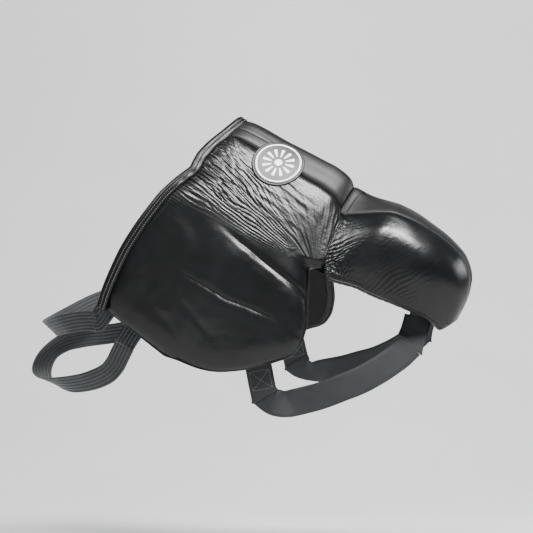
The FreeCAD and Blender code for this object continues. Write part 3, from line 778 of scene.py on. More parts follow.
def wing_edge(name, side):
    """Rolled binding along the lower and rear edge of the wing."""
    low_arc = np.linspace(114, 290, 150)
    corner_z = low_edge(290.0)
    corner = [(END_ARC - 7 + 6.5 * t, corner_z + (-110 - corner_z) * t)
              for t in np.linspace(0.15, 1, 12)]
    rear = [(END_ARC - 0.5, z) for z in np.linspace(-105, -20, 40)]
    edge = resample(np.concatenate([np.stack([low_arc, low_edge(low_arc)], -1), corner, rear]),
                    320)
    for _ in range(6):
        edge[1:-1] = (edge[:-2] + edge[1:-1] * 2 + edge[2:]) / 4
    along = unit(np.gradient(edge, axis=0))
    arc, z = edge.T
    depth = 0.60 * pad_depth(arc)
    centre = wrap(arc, z, depth, side)
    inward = unit(wrap(arc - along[:, 1] * 4, z + along[:, 0] * 4, depth, side) - centre)
    through = unit(wrap(arc, z, depth + 3, side) - centre)
    profile = oval(14, 1.7, 2.3)
    profile[:, 0] *= np.where(profile[:, 0] > 0, 1.45, 1)
    attach(sweep("wing_edge_roll_" + name, centre, inward, through, profile), BINDING,
           "wing_" + name, ("hip_piping_" + name,))


for name, side in SIDES:
    waist_binding(name, side)
for name, side in SIDES:
    wing_edge(name, side)


# ---------------------------------------------------------------- cup
# The cup is laid out by down (0 at its top, 1 at its foot; below 0 it runs up into the groove
# under the abdomen pad) and across (-1 at the right rim, 1 at the left rim).
# Stations: (down, y and z of the front centre line, half width, y and z of the rims)
CUP = [
    (0.00, -164.0, -172.5, 68.0, -83.0, -206.0),
    (0.06, -168.5, -180.0, 68.0, -84.5, -211.0),
    (0.15, -176.0, -196.0, 67.5, -87.0, -220.0),
    (0.28, -183.0, -220.0, 66.0, -91.0, -237.0),
    (0.42, -188.0, -247.0, 63.0, -95.0, -258.0),
    (0.56, -189.5, -277.0, 58.5, -101.0, -281.0),
    (0.69, -186.0, -307.0, 51.5, -105.5, -303.0),
    (0.80, -174.0, -330.0, 43.0, -108.0, -321.0),
    (0.89, -154.0, -344.0, 34.0, -106.0, -333.0),
    (0.95, -133.0, -350.5, 27.0, -103.0, -340.0),
    (1.00, -114.0, -353.5, 21.0, -99.0, -345.5),
]
front_y, front_z, half_width, rim_y, rim_z = (
    monotone([(row[0], row[k]) for row in CUP]) for k in range(1, 6))
# (down, across) of the centre strip's seam
cup_seam = monotone([(0.0, 0.27), (0.15, 0.25), (0.3, 0.215), (0.45, 0.165), (0.6, 0.105),
                     (0.72, 0.06), (0.82, 0.03), (1.0, 0.02)])
CUP_TOP, CUP_FOOT = -0.2, 0.985  # down at the ends of the leather
CUP_UV = (0.26, 0.09)            # metres of texture per unit of down and across
CUP_BLEND = ("cup", "front", (0.0, -0.150, -0.212), (0.0, -0.135, -0.166))


def groove_z(across):
    """Height at which the cup's leather meets the abdomen pad."""
    return np.interp(np.abs(across), [0, 0.3, 0.55, 0.8, 0.93, 1.0],
                     [-164.0, -170.0, -183.0, -196.0, -199.0, -196.0]) + 2.5


def cup_point(down, across):
    down, across = np.broadcast_arrays(np.asarray(down, float), np.asarray(across, float))
    station = np.clip(down, 0, 1)
    angle = across * math.pi / 2
    forward = np.clip(np.cos(angle), 0, 1) ** 0.86
    sideways = np.sign(angle) * np.abs(np.sin(angle)) ** 0.90
    back_y, back_z = rim_y(station), rim_z(station)
    x = half_width(station) * sideways
    y = back_y + (front_y(station) - back_y) * forward
    z = back_z + (front_z(station) - back_z) * forward
    # above the cup the leather turns up and in to meet the pad's lower edge
    above = np.clip(-down, 0, 0.2) / 0.2
    z = z + np.clip(groove_z(across) - z, -6, 40) * smooth(above)
    share = (1 - smooth((down + 0.07) / 0.36))[..., None]
    tucked = wrap(np.interp(np.abs(sideways) * 73.0, -PLAN_X, PLAN_ARC), z, 0.3 + 5.0 * above ** 2)
    tucked[..., 0] *= -np.sign(across)
    return np.stack([x, y, z], -1) * (1 - share) + tucked * share


def toward_rim(across):
    """Sideways unit vector pointing to the nearer rim."""
    return np.stack([np.sign(across), np.zeros_like(across), np.zeros_like(across)], -1)


def cup_normal(down, across):
    step, side_step = 2e-3, 4e-3
    downward = cup_point(down + step, across) - cup_point(down - step, across)
    sideward = (cup_point(down, np.clip(across + side_step, -1, 1))
                - cup_point(down, np.clip(across - side_step, -1, 1)))
    normal = unit(np.cross(sideward, downward))
    from_middle = cup_point(down, across) - np.array([0, -118.0, -262.0])
    normal = normal * np.sign(np.sum(normal * from_middle, -1, keepdims=True))
    share = smooth((np.abs(across) - 0.93) / 0.07)[..., None]
    return unit(normal * (1 - share) + toward_rim(across) * share)


def cup_relief(down, across, seed):
    """Outward relief of the cup's side leather in mm."""
    side = np.abs(across)
    from_rim = 1 - side
    relief = (1.4 * bell((down - 0.40) / 0.33) * bell((side - 0.50) / 0.30)
              + 3.0 * bell((down - 0.60) / 0.24) * bell((side - 0.66) / 0.27))
    # soft hollow between the upper swell and the lower one
    hollow = down - (0.16 + 0.36 * side)
    relief = relief - (1.5 * bell(hollow / 0.10) * smooth((side - 0.16) / 0.2)
                       * smooth((0.97 - side) / 0.2))
    relief = relief + 0.8 * fractal(down * 4.2 + 5, side * 4.0 + 2, seed, 2)
    # fine slanting creases running in from the rear rim
    phase = down * 34 + side * 11.0 + 1.3 * fractal(down * 5, side * 3, seed + 2)
    reach = (np.exp(-(from_rim / 0.24) ** 1.4) * smooth((down - 0.03) / 0.12)
             * smooth((0.98 - down) / 0.2))
    gain = np.clip(0.5 + 0.9 * fractal(down * 8, side * 2.5, seed + 3), 0.05, 1.3)
    relief = relief + reach * (0.85 * (folds(phase, 1.25) - 0.5) * gain
                               + 0.28 * (folds(phase * 2.1 + 0.7, 1.2) - 0.5))
    relief = relief + (0.13 * fractal(down * 60 + side * 14, side * 12, seed + 4, 2)
                       * bell(from_rim / 0.5))
    # gathers where the leather is drawn into the groove
    reach = (np.exp(-np.clip(down + 0.02, 0, 1) / 0.11) * (0.35 + smooth((side - 0.45) / 0.4))
             * smooth((down + 0.13) / 0.16))
    phase = side * 19 + fractal(down * 14, side * 9, seed + 5) + down * 6
    relief = relief + reach * 1.25 * (folds(phase, 1.25) - 0.5)
    # tight tucks by the crotch apex
    reach = bell(np.hypot((down - 0.05) / 0.12, (side - 0.88) / 0.2)) * smooth((down + 0.10) / 0.14)
    phase = down * 26 - side * 16 + fractal(down * 15, side * 12, seed + 6)
    return relief + reach * 1.1 * (folds(phase, 1.2) - 0.5)


def cup_sheet(name, down, across, outer, inner):
    """Two-faced sheet laid out by the cup's own coordinates."""
    uv = np.stack([np.concatenate([down, down], 1) * CUP_UV[0],
                   two_faced(across, across) * CUP_UV[1]], -1)
    return grid(name, two_faced(outer, inner), uv)


def cup_panel(name, rows, columns, limits, material, nodes, seed=None, edge_dips=(0.0, 0.0)):
    """Leather panel of the cup; limits gives its lowest and highest across from the seam's.

    edge_dips are how far it sinks at those two edges; without a seed it is nearly smooth.
    """
    down = np.linspace(CUP_TOP, CUP_FOOT, rows)[:, None] * np.ones(columns)
    station = np.clip(down, 0, 1)
    low, high = limits(cup_seam(station))
    across = low + (high - low) * np.linspace(0, 1, columns)
    normal = cup_normal(down, across)
    points = cup_point(down, across)
    if seed is None:
        relief = 0.25 * fractal(down * 14, across * 9, 5, 2)
    else:
        relief = cup_relief(down, across, seed)
    relief = relief * smooth((down + 0.12) / 0.18) * smooth((CUP_FOOT + 0.01 - down) / 0.06)
    # swell at the top of the centre line
    relief = relief + (2.4 * bell((down - 0.16) / 0.26) * bell(across / 0.42)
                       * smooth((down + 0.1) / 0.2))
    for edge, dip in zip((low, high), edge_dips):
        dist = np.abs(across - edge) * half_width(station) * 1.5
        relief = relief - dip * np.exp(-dist / 2.2)
    thick = 3.2
    obj = cup_sheet(name, down, across, points + normal * relief[..., None],
                    points - normal * thick)
    attach(obj, material, CUP_BLEND, nodes)


def cup_rim(name, side):
    """Rear rim: leather rolled over the padding and turned in, with a stitched welt."""
    down = np.linspace(-0.02, CUP_FOOT, count(130))
    edge = cup_point(down, -side * np.ones_like(down))
    outward = np.array([-float(side), 0.0, 0.0])
    back = unit(np.cross(outward, unit(np.gradient(edge, axis=0))))
    back = back * np.sign(back[:, 1:2] + 1e-9)
    column = down[:, None]
    half = np.interp(column, [0, 0.7, 1.0], [15.0, 14.0, 7.0]) / 2
    wobble = 0.5 * np.sin(column * 150) * bell((column - 0.5) / 0.5) + 0.4 * np.sin(column * 97 + 1)
    arch = np.linspace(0, math.pi, 13)
    # profile about the middle of the padding: the arched back, then three points turned in
    out_part = np.concatenate([(half + 0.5) * np.cos(arch), -half - 0.2, half * 0, half - 0.8], 1)
    back_part = np.concatenate([(4.6 + 0.35 * wobble) * np.sin(arch) ** 0.8,
                                np.ones_like(half) * (-8.0, -12.0, -8.0)], 1)
    taper = rounded((column - CUP_FOOT + 0.035) / 0.035) * 0.96 + 0.04
    profiles = np.stack([out_part * taper - half, back_part * taper], -1)
    obj = sweep("cup_rim_roll_" + name, edge, outward, back, profiles)
    attach(obj, CUP_LEATHER, CUP_BLEND)
    welt = oval(10, 1.25, 1.25) + (0.2, 0.4)
    obj = sweep("cup_rim_welt_" + name, edge + outward * 0.1, outward, back, welt)
    attach(obj, BINDING, CUP_BLEND)
    obj = stitches("cup_rim_stitch_" + name, edge + outward * 0.55 - back * 2.6, outward,
                   pitch=3.2, length=2.1, radius=0.30)
    attach(obj, DARK_THREAD, CUP_BLEND)


def cup_foot():
    """Rounded foot of the cup, from rim to rim."""
    across = np.sin(np.linspace(-1, 1, count(90)) * math.pi / 2) * 0.999
    down = np.full_like(across, CUP_FOOT)
    normal = cup_normal(down, across)
    edge = cup_point(down, across)
    downward = unit(edge - cup_point(down - 0.02, across))
    downward = unit(downward - normal * np.sum(downward * normal, 1, keepdims=True))
    taper = (0.04 + 0.96 * rounded((np.abs(across) - 0.84) / 0.16))[:, None, None]
    shift = (1 - taper) * (1.6, 0)
    obj = sweep("cup_foot_roll", edge - normal * 4.95, normal, downward,
                oval(24, 5.0, 4.6) * taper + shift)
    attach(obj, CUP_LEATHER, "cup")


def cup_hollow():
    """Padded lining bowl inside the cup."""
    rows, columns = count(90), count(110)
    down = np.linspace(0.02, 0.978, rows)[:, None] * np.ones(columns)
    across = np.linspace(-1, 1, columns) * np.ones((rows, 1))
    surface = cup_point(down, across)
    depth = np.interp(down, [0, 0.12, 0.7, 1.0], [9.0, 16.5, 16.5, 8.0])
    centre = np.stack([np.zeros_like(down), rim_y(down) - 8.0, rim_z(down) - 2.0], -1)
    share = smooth((np.abs(across) - 0.8) / 0.2)[..., None]
    inward = unit(unit(centre - surface) * (1 - share) - toward_rim(across) * share)
    puffed = depth + 0.6 * fractal(down * 9, across * 6, 19, 2)
    obj = cup_sheet("cup_hollow_lining", down, across, surface + inward * puffed[..., None],
                    surface + inward * (depth - 1.6)[..., None])
    attach(obj, LINING, "cup", ("cup_lining",))


def seam_stitching(name, side):
    """Topstitching on both sides of the centre strip's seam, on the pad and down the cup."""
    z = np.linspace(-14, -158, 120)
    for row, shift, depth in (("a", -3.4, 0.85), ("b", 3.6, 0.9)):
        arc = np.full_like(z, SEAM_ARC + shift)
        out = unit(wrap(arc, z, -5.0, side) - wrap(arc, z, 5.0, side))
        obj = stitches(f"seam_stitch_{row}_{name}", wrap(arc, z, depth, side), out,
                       pitch=3.1, length=2.1, radius=0.28)
        attach(obj, DARK_THREAD, "front")
    down = np.linspace(0.02, 0.86, 130)
    for row, shift in (("a", 0.022), ("b", -0.022)):
        across = -side * (cup_seam(down) + shift * np.interp(down, [0, 0.7, 1], [1, 1, 0.35]))
        normal = cup_normal(down, across)
        obj = stitches(f"cup_seam_stitch_{row}_{name}", cup_point(down, across) + normal * 0.1,
                       normal, pitch=3.0, length=2.0, radius=0.28)
        attach(obj, DARK_THREAD, "cup")


cup_panel("cup_leather_right", count(190), count(150), lambda seam: (-0.999, -seam), CUP_LEATHER,
          ("cup_side_cover_right", "cup_rim_piping_right", "cup_foam", "cup_shell"),
          seed=41, edge_dips=(0.0, 1.5))
cup_panel("cup_leather_left", count(190), count(150), lambda seam: (seam, 0.999), CUP_LEATHER,
          ("cup_side_cover_left", "cup_rim_piping_left"), seed=83, edge_dips=(1.5, 0.0))
cup_panel("cup_center_strip", count(150), 41, lambda seam: (0.002 - seam, seam - 0.002),
          STRIP_LEATHER, ("cup_center_cover",), edge_dips=(1.2, 1.2))
for name, side in SIDES:
    cup_rim(name, side)
cup_foot()
cup_hollow()
for name, side in SIDES:
    seam_stitching(name, side)


# ---------------------------------------------------------------- webbing
WEB_SIZE = (32, 1.7)       # width and thickness
ELASTIC_SIZE = (25, 1.5)

# Stations of the right side's webbing: (x, y, z, direction of its width)
CROTCH_WEB = [
    (-23.5, -97, -314, 0, 0.3, 1), (-26.5, -90, -317.5, 0, 0.34, 1),
    (-29.5, -82.6, -320.6, 0, 0.34, 1), (-32.6, -75.8, -323.2, 0.04, 0.2, 1),
    (-35.3, -70.8, -325.5, 0.1, 0.0, 1), (-37.1, -67.3, -327.4, 0.15, -0.16, 1)]
LEG_WEB = [
    (-38.9, -67.3, -327.6, 0.15, -0.16, 1), (-40.4, -63.0, -327.1, 0.14, -0.15, 1),
    (-42.8, -56.6, -326.2, 0.12, -0.12, 1), (-46.2, -48.3, -324.5, 0.1, -0.12, 1),
    (-54.5, -26.4, -317.2, 0.08, -0.25, 1), (-63.5, -3.5, -306.8, 0.05, -0.4, 1),
    (-72, 16, -294.5, 0.02, -0.45, 1), (-79.5, 36.5, -281.3, 0, -0.55, 0.95),
    (-86.5, 57.5, -264.4, 0.2, -0.72, 0.75), (-90, 66.8, -255.6, 0.55, -0.85, 0.5),
    (-91.6, 71.6, -247, 0.45, -0.95, 0.3), (-92.2, 73.4, -238.5, 0.12, -1, 0.1),
    (-92.4, 73.6, -230.4, 0, -1, 0)]
TAB_WIDTH = (0, -0.75, -0.66)
TAB_WEB = [(*point, *TAB_WIDTH) for point in (
    (-86.6, 17, -166.5), (-88.6, 31, -183), (-91.4, 46, -199), (-93.1, 56.4, -210.7),
    (-94.1, 66, -221.6), (-94.4, 73.6, -230.2))]


def spline(stations, number):
    """Catmull-Rom through stations, evenly resampled."""
    knots = np.concatenate([[2 * stations[0] - stations[1]], stations,
                            [2 * stations[-1] - stations[-2]]])
    part = np.linspace(0, 1, 24, endpoint=False)[:, None]
    pieces = []
    for before, start, end, after in zip(knots, knots[1:], knots[2:], knots[3:]):
        pieces.append(0.5 * (2 * start + (end - before) * part
                             + (2 * before - 5 * start + 4 * end - after) * part ** 2
                             + (3 * start - before - 3 * end + after) * part ** 3))
    return resample(np.concatenate(pieces + [stations[-1:]]), number)


def band(name, stations, size, number, side=1, ribs=0, rib_height=0.0, seed=0,
         shear=0.0, shear_length=30.0):
    """Flat woven band with rounded selvedges; ribs run lengthwise.

    shear slants the far end over its last shear_length, where webbing folds over at an angle.
    """
    width, thick = size
    line = spline(np.array(stations, float) * (side, 1, 1, side, 1, 1), number)
    centre, wide = line[:, :3], line[:, 3:]
    along = unit(np.gradient(centre, axis=0))
    wide = unit(wide - along * np.sum(wide * along, 1, keepdims=True))
    face = unit(np.cross(along, wide))[:, None]
    place = np.linspace(-1, 1, 8 * ribs + 9 if ribs else 15)
    from_edge = 1 - np.abs(place)
    offset = place * width / 2
    half = thick / 2
    height = half * rounded(1 - from_edge * width / 2 / (half * 1.3))
    if ribs:
        height = height + (rib_height * (0.5 - 0.5 * np.cos(math.pi * ribs * (place + 1)))
                           * np.clip(from_edge * 12, 0, 1))
    length = lengths(centre)
    waves = 0.25 * fractal(np.linspace(0, 9, number)[:, None] + seed, place[None] * 1.2, seed)
    slant = smooth((length - (length[-1] - shear_length)) / shear_length)[:, None, None]
    middle = (centre[:, None] + wide[:, None] * offset[:, None] + face * waves[..., None]
              + slant * along[:, None] * (offset * shear)[:, None])
    lift = face * height[:, None]
    uv = np.broadcast_arrays(length[:, None], np.concatenate([offset, offset[::-1]])[None])
    return grid(name, two_faced(middle + lift, middle - lift), np.stack(uv, -1) * MM)


def tab_blend(name, side):
    return ("front", "wing_" + name, metres((-93.4, 71, -227), side),
            metres((-91.2, 46, -199), side))


def crotch_web(name, side):
    """Webbing from behind the cup's foot to the front fold."""
    obj = band("crotch_web_" + name, CROTCH_WEB, WEB_SIZE, 40, side, shear=-0.6, shear_length=20)
    blend = ("cup", "front", metres(CROTCH_WEB[1][:3], side), metres(CROTCH_WEB[4][:3], side))
    attach(obj, WEBBING, blend, ("crotch_webbing_" + name,))


def crotch_fold(name, side):
    """Rounded edge of the front fold, joining the crotch webbing and the leg strap."""
    fold = unit([0.15 * side, -0.16, 1.0])
    path = np.array([-38.0 * side, -67.4, -327.5]) + fold * np.linspace(-15.9, 15.9, 24)[:, None]
    along = unit([-7.4 * side, 19.0, 3.1])
    along = unit(along - fold * np.dot(along, fold))
    obj = sweep("crotch_fold_" + name, path, along, unit(np.cross(fold, along)),
                oval(14, 1.5, 1.95))
    attach(obj, WEBBING, "leg_strap_" + name)


def leg_web(name, side):
    """Long strap from the front fold back and up to the fold at the foot of the tab."""
    obj = band("leg_web_" + name, LEG_WEB, WEB_SIZE, 190, side, seed=3, shear=-0.3735,
               shear_length=16)
    blend = ("leg_strap_" + name, "front", metres((-90.6, 69.0, -253.0), side),
             metres((-92.3, 73.5, -235.5), side))
    attach(obj, WEBBING, blend, ("leg_strap_" + name,))


def leg_tab(name, side):
    """Tab behind the wing, and the rounded slanting fold at its foot."""
    obj = band("leg_tab_web_" + name, TAB_WEB, WEB_SIZE, 100, side, seed=5, shear=-0.394,
               shear_length=26)
    attach(obj, WEBBING, tab_blend(name, side), ("leg_tab_" + name,))
    rear, front = np.array([-93.4, 90.0, -224.1]), np.array([-93.4, 57.2, -236.3])
    path = (rear + (front - rear) * np.linspace(0, 1, 24)[:, None]) * (side, 1, 1)
    down = unit(np.cross(unit(path[-1] - path[0]), [1.0, 0, 0]))
    obj = sweep("leg_fold_" + name, path, (1.0, 0, 0), down, oval(14, 1.95, 1.5))
    attach(obj, WEBBING, tab_blend(name, side))


def flex_gusset():
    """Folded gusset that closes the groove between the pad's lower edge and the cup."""
    half_arc = 109
    arc = np.linspace(-half_arc, half_arc, 121)
    upper = wrap(arc, low_edge(arc) + 7.0, 0.58 * pad_depth(arc))
    across = -np.sign(arc) * (np.abs(arc) / half_arc) ** 1.05
    lower = (cup_point(np.full_like(arc, 0.035), across)
             - cup_normal(np.full_like(arc, 0.03), across) * 8.0)
    inside = np.array([0, -70.0, -185.0])
    columns = []
    for part in np.linspace(0, 1, 13):
        points = upper * (1 - part) + lower * part
        inward = unit(inside - points) * (1, 1, 0.2)
        depth = 4.5 * math.sin(math.pi * part) + 0.8 * np.sin(arc / 4.1 + 2 * part)
        columns.append(points + inward * depth[:, None])
    outer = np.stack(columns, 1)
    obj = grid("flex_gusset", two_faced(outer, outer + unit(inside - outer) * 1.6))
    attach(obj, LEATHER,
           ("front", "cup", (0.0, -0.135, -0.170), (0.0, -0.150, -0.200)))


for name, side in SIDES:
    crotch_web(name, side)
    crotch_fold(name, side)
    leg_web(name, side)
    leg_tab(name, side)
flex_gusset()

# ---------------------------------------------------------------- elastic waist bands
JOINT_X, JOINT_Y = 98.1, 127.0          # where the rear bands meet their ends
LOWER_Z, UPPER_Z = -63.6, -22.0

# Stations from the wearer's right round the back to the left: (x, y, z, direction of the width)
LOWER_BAND = [
    (-JOINT_X, JOINT_Y, LOWER_Z, 0, 0, 1), (-96.0, 134, -64.8, 0, 0, 1),
    (-92.0, 145, -66, 0, 0, 1), (-86.5, 161, -67.6, 0, 0, 1),
    (-79, 180.4, -64.5, 0.25, 0.25, 1), (-62, 209.4, -49, 0.25, 0.25, 1),
    (-38, 238, -26.3, 0.25, 0.25, 1), (-8, 258, -2, 0.1, 0.35, 1), (26, 264, 14, 0.1, 0.35, 1),
    (56, 254, 22, 0.1, 0.35, 1), (78, 236, 17, -0.1, 0.2, 1), (88, 218, 2, -0.1, 0.2, 1),
    (94, 196.4, -20, -0.1, 0.2, 1), (97, 172, -42, 0, 0, 1), (97, 148, -57, 0, 0, 1),
    (97.5, 135, -62.5, 0, 0, 1), (JOINT_X, JOINT_Y, LOWER_Z, 0, 0, 1)]
UPPER_HALF = [
    (-JOINT_X, JOINT_Y, UPPER_Z, 0, -0.3, 1), (-95, 133, -15, 0, -0.4, 1),
    (-88.5, 146, -2, 0, -0.35, 1), (-74, 168, 14, 0, -0.2, 1), (-44, 190, 26, 0, -0.1, 1)]
UPPER_BAND = (UPPER_HALF + [(0, 199, 31, 0, -0.1, 1)]
              + [(-station[0], *station[1:]) for station in UPPER_HALF[::-1]])
# Ends: name, z on the wing, z at the joint, rise past the joint, lean of the width
BAND_ENDS = (("lower", -62.5, LOWER_Z, -0.5, 0.0), ("upper", UPPER_Z, UPPER_Z, 2.0, -0.3))


def band_end(name, side, level, wing_z, joint_z, rise, tilt):
    """End of a band inside the wing, with two rows of stitches into the lining."""
    points = [tuple(wrap(arc, wing_z, PAD_SIDE + 1.4))
              for arc in (262, 269, 276, 283, 290, 296, 301)]
    points += [(-JOINT_X, JOINT_Y, joint_z), (-97.6, JOINT_Y + 3.0, joint_z + rise)]
    tilts = [0] * 3 + [tilt * 0.4] * 2 + [tilt] * 4
    stations = [(*point, 0, lean_y, 1) for point, lean_y in zip(points, tilts)]
    obj = band(f"waist_elastic_{level}_end_{name}", stations, ELASTIC_SIZE, 90, side, ribs=6,
               rib_height=0.36, seed=12)
    blend = ("wing_" + name, "front", (side * -0.098, 0.104, wing_z * MM),
             (side * -0.098, 0.1262, wing_z * MM))
    attach(obj, ELASTIC, blend, (f"{level}_band_end_{name}",))
    z = np.linspace(wing_z - 11, wing_z + 11, 12)
    for row, arc in enumerate((270.0, 284.0)):
        path = wrap(arc, z, PAD_SIDE + 2.75, side)
        out = unit(wrap(arc, z, PAD_SIDE + 6, side) - path)
        obj = stitches(f"band_tack_{level}_{name}_{row}", path, out, pitch=2.6, length=1.9,
                       radius=0.35)
        attach(obj, THREAD, "wing_" + name)


def box_stitch(name, side):
    """Crossed box of stitches on both faces of the leg strap's tab."""
    top, bottom = np.array([-92.6, 53.8, -207.6]), np.array([-94.25, 68.3, -224.2])
    down = unit(bottom - top)
    wide = unit(TAB_WIDTH)
    half = unit(wide - down * np.dot(wide, down)) * 12.0
    corners = (top + half, top - half, bottom - half, bottom + half)
    for face, sign in (("out", -1.0), ("in", 1.0)):
        for i, (start, end) in enumerate(((0, 1), (1, 2), (2, 3), (3, 0), (0, 2), (1, 3))):
            run = corners[end] - corners[start]
            path = corners[start] + run * np.linspace(0, 1, 6)[:, None] + (1.05 * sign, 0, 0)
            obj = stitches(f"tab_stitch_{face}_{name}_{i}", path * (side, 1, 1),
                           (sign * side, 0.0, 0.0), pitch=2.7, length=2.0, radius=0.33)
            attach(obj, THREAD, tab_blend(name, side))


for level, stations, number, seed in (("lower", LOWER_BAND, 340, 8), ("upper", UPPER_BAND, 260, 9)):
    attach(band("waist_elastic_" + level, stations, ELASTIC_SIZE, number, ribs=6, rib_height=0.38,
                seed=seed), ELASTIC, "rear_band_" + level, ("waist_band_" + level,))
for name, side in SIDES:
    for end in BAND_ENDS:
        band_end(name, side, *end)
for name, side in SIDES:
    box_stitch(name, side)

# ---------------------------------------------------------------- round badge
BADGE_ARC, BADGE_Z = 37.0, -75.0
STITCH_RADIUS = 27.1
# Profiles run from the top centre out and under: (radius, height above the leather)
BADGE_BASE = ([(0.05, 2.05)] + [(r, 2.05 - 0.0003 * r * r) for r in np.linspace(3, 25.5, 10)]
              + [(26.4, 1.78), (27.0, 1.55), (27.5, 1.62), (28.2, 1.72), (28.9, 1.45),
                 (29.3, 0.8), (29.3, -0.6), (28.0, -1.6), (15.0, -2.6), (0.05, -3.2)])
BADGE_RING = [(23.4, 1.5), (23.4, 2.12), (23.7, 2.32), (24.4, 2.38), (25.1, 2.30), (25.45, 2.05),
              (25.45, 1.3)]
BADGE_HUB = ([(0.05, 2.44)] + [(r, 2.42 - 0.02 * r) for r in (1, 2, 3)]
             + [(4.1, 2.28), (4.5, 2.0), (4.5, 1.2), (0.05, 1.1)])
RAYS = 12
RAY_CENTRE = 12.8
# (radius, angle off the ray's axis) and (height, scale about the ray's centre)
RAY_OUTLINE = ((8.0, -0.10), (12.0, -0.105), (17.5, -0.115), (18.2, 0.0), (17.5, 0.115),
               (12.0, 0.105), (8.0, 0.10), (7.5, 0.0))
RAY_LAYERS = ((1.6, 1.0), (2.22, 1.0), (2.34, 0.86))


def on_badge(radius, angle, height):
    return wrap(BADGE_ARC + radius * np.cos(angle), BADGE_Z + radius * np.sin(angle), -height)


def disc(name, profile, material, nodes=(), segments=160):
    """Turned profile laid on the leather."""
    angle = np.linspace(0, 2 * math.pi, segments, endpoint=False)
    points = np.stack([on_badge(radius, angle, height) for radius, height in profile])
    attach(grid(name, points), material, "front", nodes)


def badge_stitching():
    angle = np.linspace(0, 2 * math.pi, 200)
    path = on_badge(STITCH_RADIUS, angle, 1.72)
    out = unit(on_badge(STITCH_RADIUS, angle, 6) - path)
    attach(stitches("badge_stitch", path, out, pitch=2.6, length=1.8, radius=0.30), DARK_THREAD,
           "front")


def badge_rays():
    points, faces = [], []
    corners = len(RAY_OUTLINE)
    for k in range(RAYS):
        axis = 2 * math.pi * (k + 0.5) / RAYS
        base = len(points)
        for height, scale in RAY_LAYERS:
            for radius, angle in RAY_OUTLINE:
                points.append(on_badge(RAY_CENTRE + (radius - RAY_CENTRE) * scale,
                                       axis + angle * scale, height))
        for layer in (base, base + corners):
            for i in range(corners):
                after = (i + 1) % corners
                faces.append((layer + i, layer + after,
                              layer + corners + after, layer + corners + i))
        faces.append(list(range(base, base + corners))[::-1])
        faces.append(list(range(base + 2 * corners, base + 3 * corners)))
    attach(solid("badge_rays", points, faces), PRINT, "front", ("badge_motif",))


disc("badge_base", BADGE_BASE, BADGE, ("badge_disc",))
disc("badge_ring_print", BADGE_RING, PRINT, ("badge_ring",))
badge_stitching()
badge_rays()
disc("badge_hub", BADGE_HUB, PRINT, segments=48)

# ---------------------------------------------------------------- materials of the CAD nodes
NODE_MATERIALS = {"cup_shell": PLASTIC, "cup_foam": FOAM, "abdomen_foam": FOAM,
                  "hip_foam_right": FOAM, "hip_foam_left": FOAM}
SLOT_MATERIALS = {"leather": LEATHER, "binding_tape": BINDING, "lining": LINING, "foam": FOAM,
                  "cup_plastic": PLASTIC, "webbing": WEBBING, "elastic": ELASTIC,
                  "badge_print": PRINT}
node_slots = {part["node"]: part["material_slot"] for part in frame["record"]["subparts"]}
for name, obj in frame["nodes"].items():
    # a node may be given as an object or by its name
    if isinstance(obj, str):
        obj = bpy.data.objects.get(obj)
    if obj is None or obj.type != "MESH":
        continue
    material = NODE_MATERIALS.get(name) or SLOT_MATERIALS[node_slots[name]]
    if not obj.data.materials:
        obj.data.materials.append(material)
    for slot in obj.material_slots:
        slot.material = material

# ---------------------------------------------------------------- camera, floor and lights
# The camera looks from the wearer's right front, a little below level, and is rolled. Floor and
# lights are its children, placed in camera space: x right, y up, z towards the viewer, in metres.
AZIMUTH, ELEVATION, ROLL = math.radians(-75.0), math.radians(-4.0), math.radians(52.0)
DISTANCE = 2.66
FLOOR_Y = -0.36
SWEEP_RADIUS = 0.9                      # curve from floor to backdrop
FLOOR_BACK = -DISTANCE - 0.6            # where that curve starts


def add_camera():
    backward = Vector((math.sin(AZIMUTH) * math.cos(ELEVATION),
                       -math.cos(AZIMUTH) * math.cos(ELEVATION), math.sin(ELEVATION)))
    level = Vector((math.cos(AZIMUTH), math.sin(AZIMUTH), 0.0))
    upright = backward.cross(level)
    right = level * math.cos(ROLL) - upright * math.sin(ROLL)
    up = level * math.sin(ROLL) + upright * math.cos(ROLL)
    target = level * 0.0245 + Vector((0, 0, -0.1345))
    data = bpy.data.cameras.new("camera")
    obj = bpy.data.objects.new("camera", data)
    bpy.context.scene.collection.objects.link(obj)
    data.lens, data.sensor_width = 150.0, 36.0
    data.clip_start, data.clip_end = 0.01, 60.0
    rotation = Matrix((right, up, backward)).transposed().to_4x4()
    obj.matrix_world = Matrix.Translation(target + backward * DISTANCE) @ rotation
    bpy.context.scene.camera = obj
    return obj


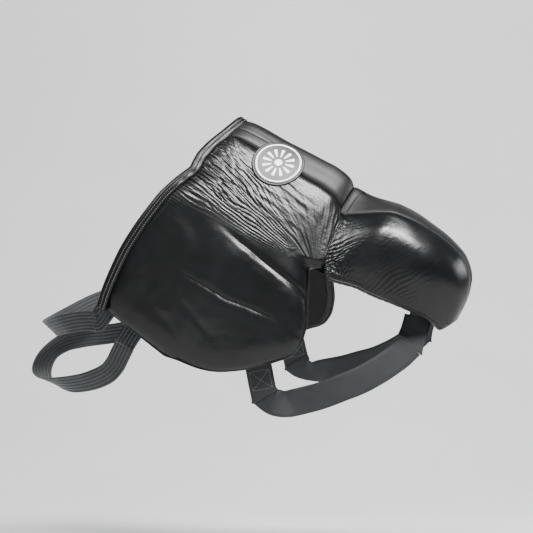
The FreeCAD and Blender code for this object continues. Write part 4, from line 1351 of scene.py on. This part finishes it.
def add_floor():
    """Paper floor that curves up into a sloping backdrop."""
    shader = Shader("studio_paper")
    tone = shader.noise(shader.object_place(), Scale=3.0, Detail=3.0)
    stops = [(0.3, (0.80, 0.80, 0.80)), (0.7, (0.84, 0.84, 0.84))]
    material = shader.surface({"Base Color": shader.ramp(tone, stops), "Roughness": 0.9})
    profile = [(FLOOR_Y, 3.0)] + [(FLOOR_Y, z) for z in np.linspace(1.2, FLOOR_BACK, 10)]
    for angle in np.linspace(0, math.pi / 2, 14)[1:]:
        profile.append((FLOOR_Y + SWEEP_RADIUS * (1 - math.cos(angle)),
                        FLOOR_BACK - SWEEP_RADIUS * math.sin(angle)))
    profile.append((4.5, FLOOR_BACK - SWEEP_RADIUS))
    points = np.array([[(x, y, z) for y, z in profile] for x in np.linspace(-5, 5, 9)]) / MM
    floor = grid("studio_floor", points, tube=False)
    floor.data.materials.append(material)
    floor.parent = camera
    floor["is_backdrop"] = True


def add_light(name, place, size, power):
    """Area light aimed at the product; place is measured from the product in camera space."""
    data = bpy.data.lights.new(name, "AREA")
    data.shape = "RECTANGLE"
    data.size, data.size_y = size
    data.energy = power
    obj = bpy.data.objects.new(name, data)
    bpy.context.scene.collection.objects.link(obj)
    obj.parent = camera
    product = Vector((0, 0, -DISTANCE))
    location = product + Vector(place)
    aim = (product - location).to_track_quat("-Z", "Y").to_matrix().to_4x4()
    obj.matrix_local = Matrix.Translation(location) @ aim


camera = add_camera()
add_floor()
add_light("key_overhead", place=(0.45, 1.14, 0.86), size=(0.50, 0.40), power=41.0)
add_light("key_left", place=(-0.75, 1.15, 0.55), size=(0.5, 0.35), power=16.0)
add_light("fill_front", place=(-0.5, 0.2, 2.3), size=(1.4, 1.4), power=3.0)
add_light("rim_right", place=(1.5, 0.35, -0.1), size=(0.45, 0.8), power=9.0)

world = bpy.data.worlds.new("soft_world")
bpy.context.scene.world = world
world.use_nodes = True
background = world.node_tree.nodes["Background"]
background.inputs["Color"].default_value = (0.9, 0.93, 1.0, 1)
background.inputs["Strength"].default_value = 0.14
bpy.context.scene.view_settings.look = "AgX - Medium High Contrast"

boxes = {"cad": cad_box, "visual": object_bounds()}
boxes = {key: [[float(v) for v in corner] for corner in box] for key, box in boxes.items()}
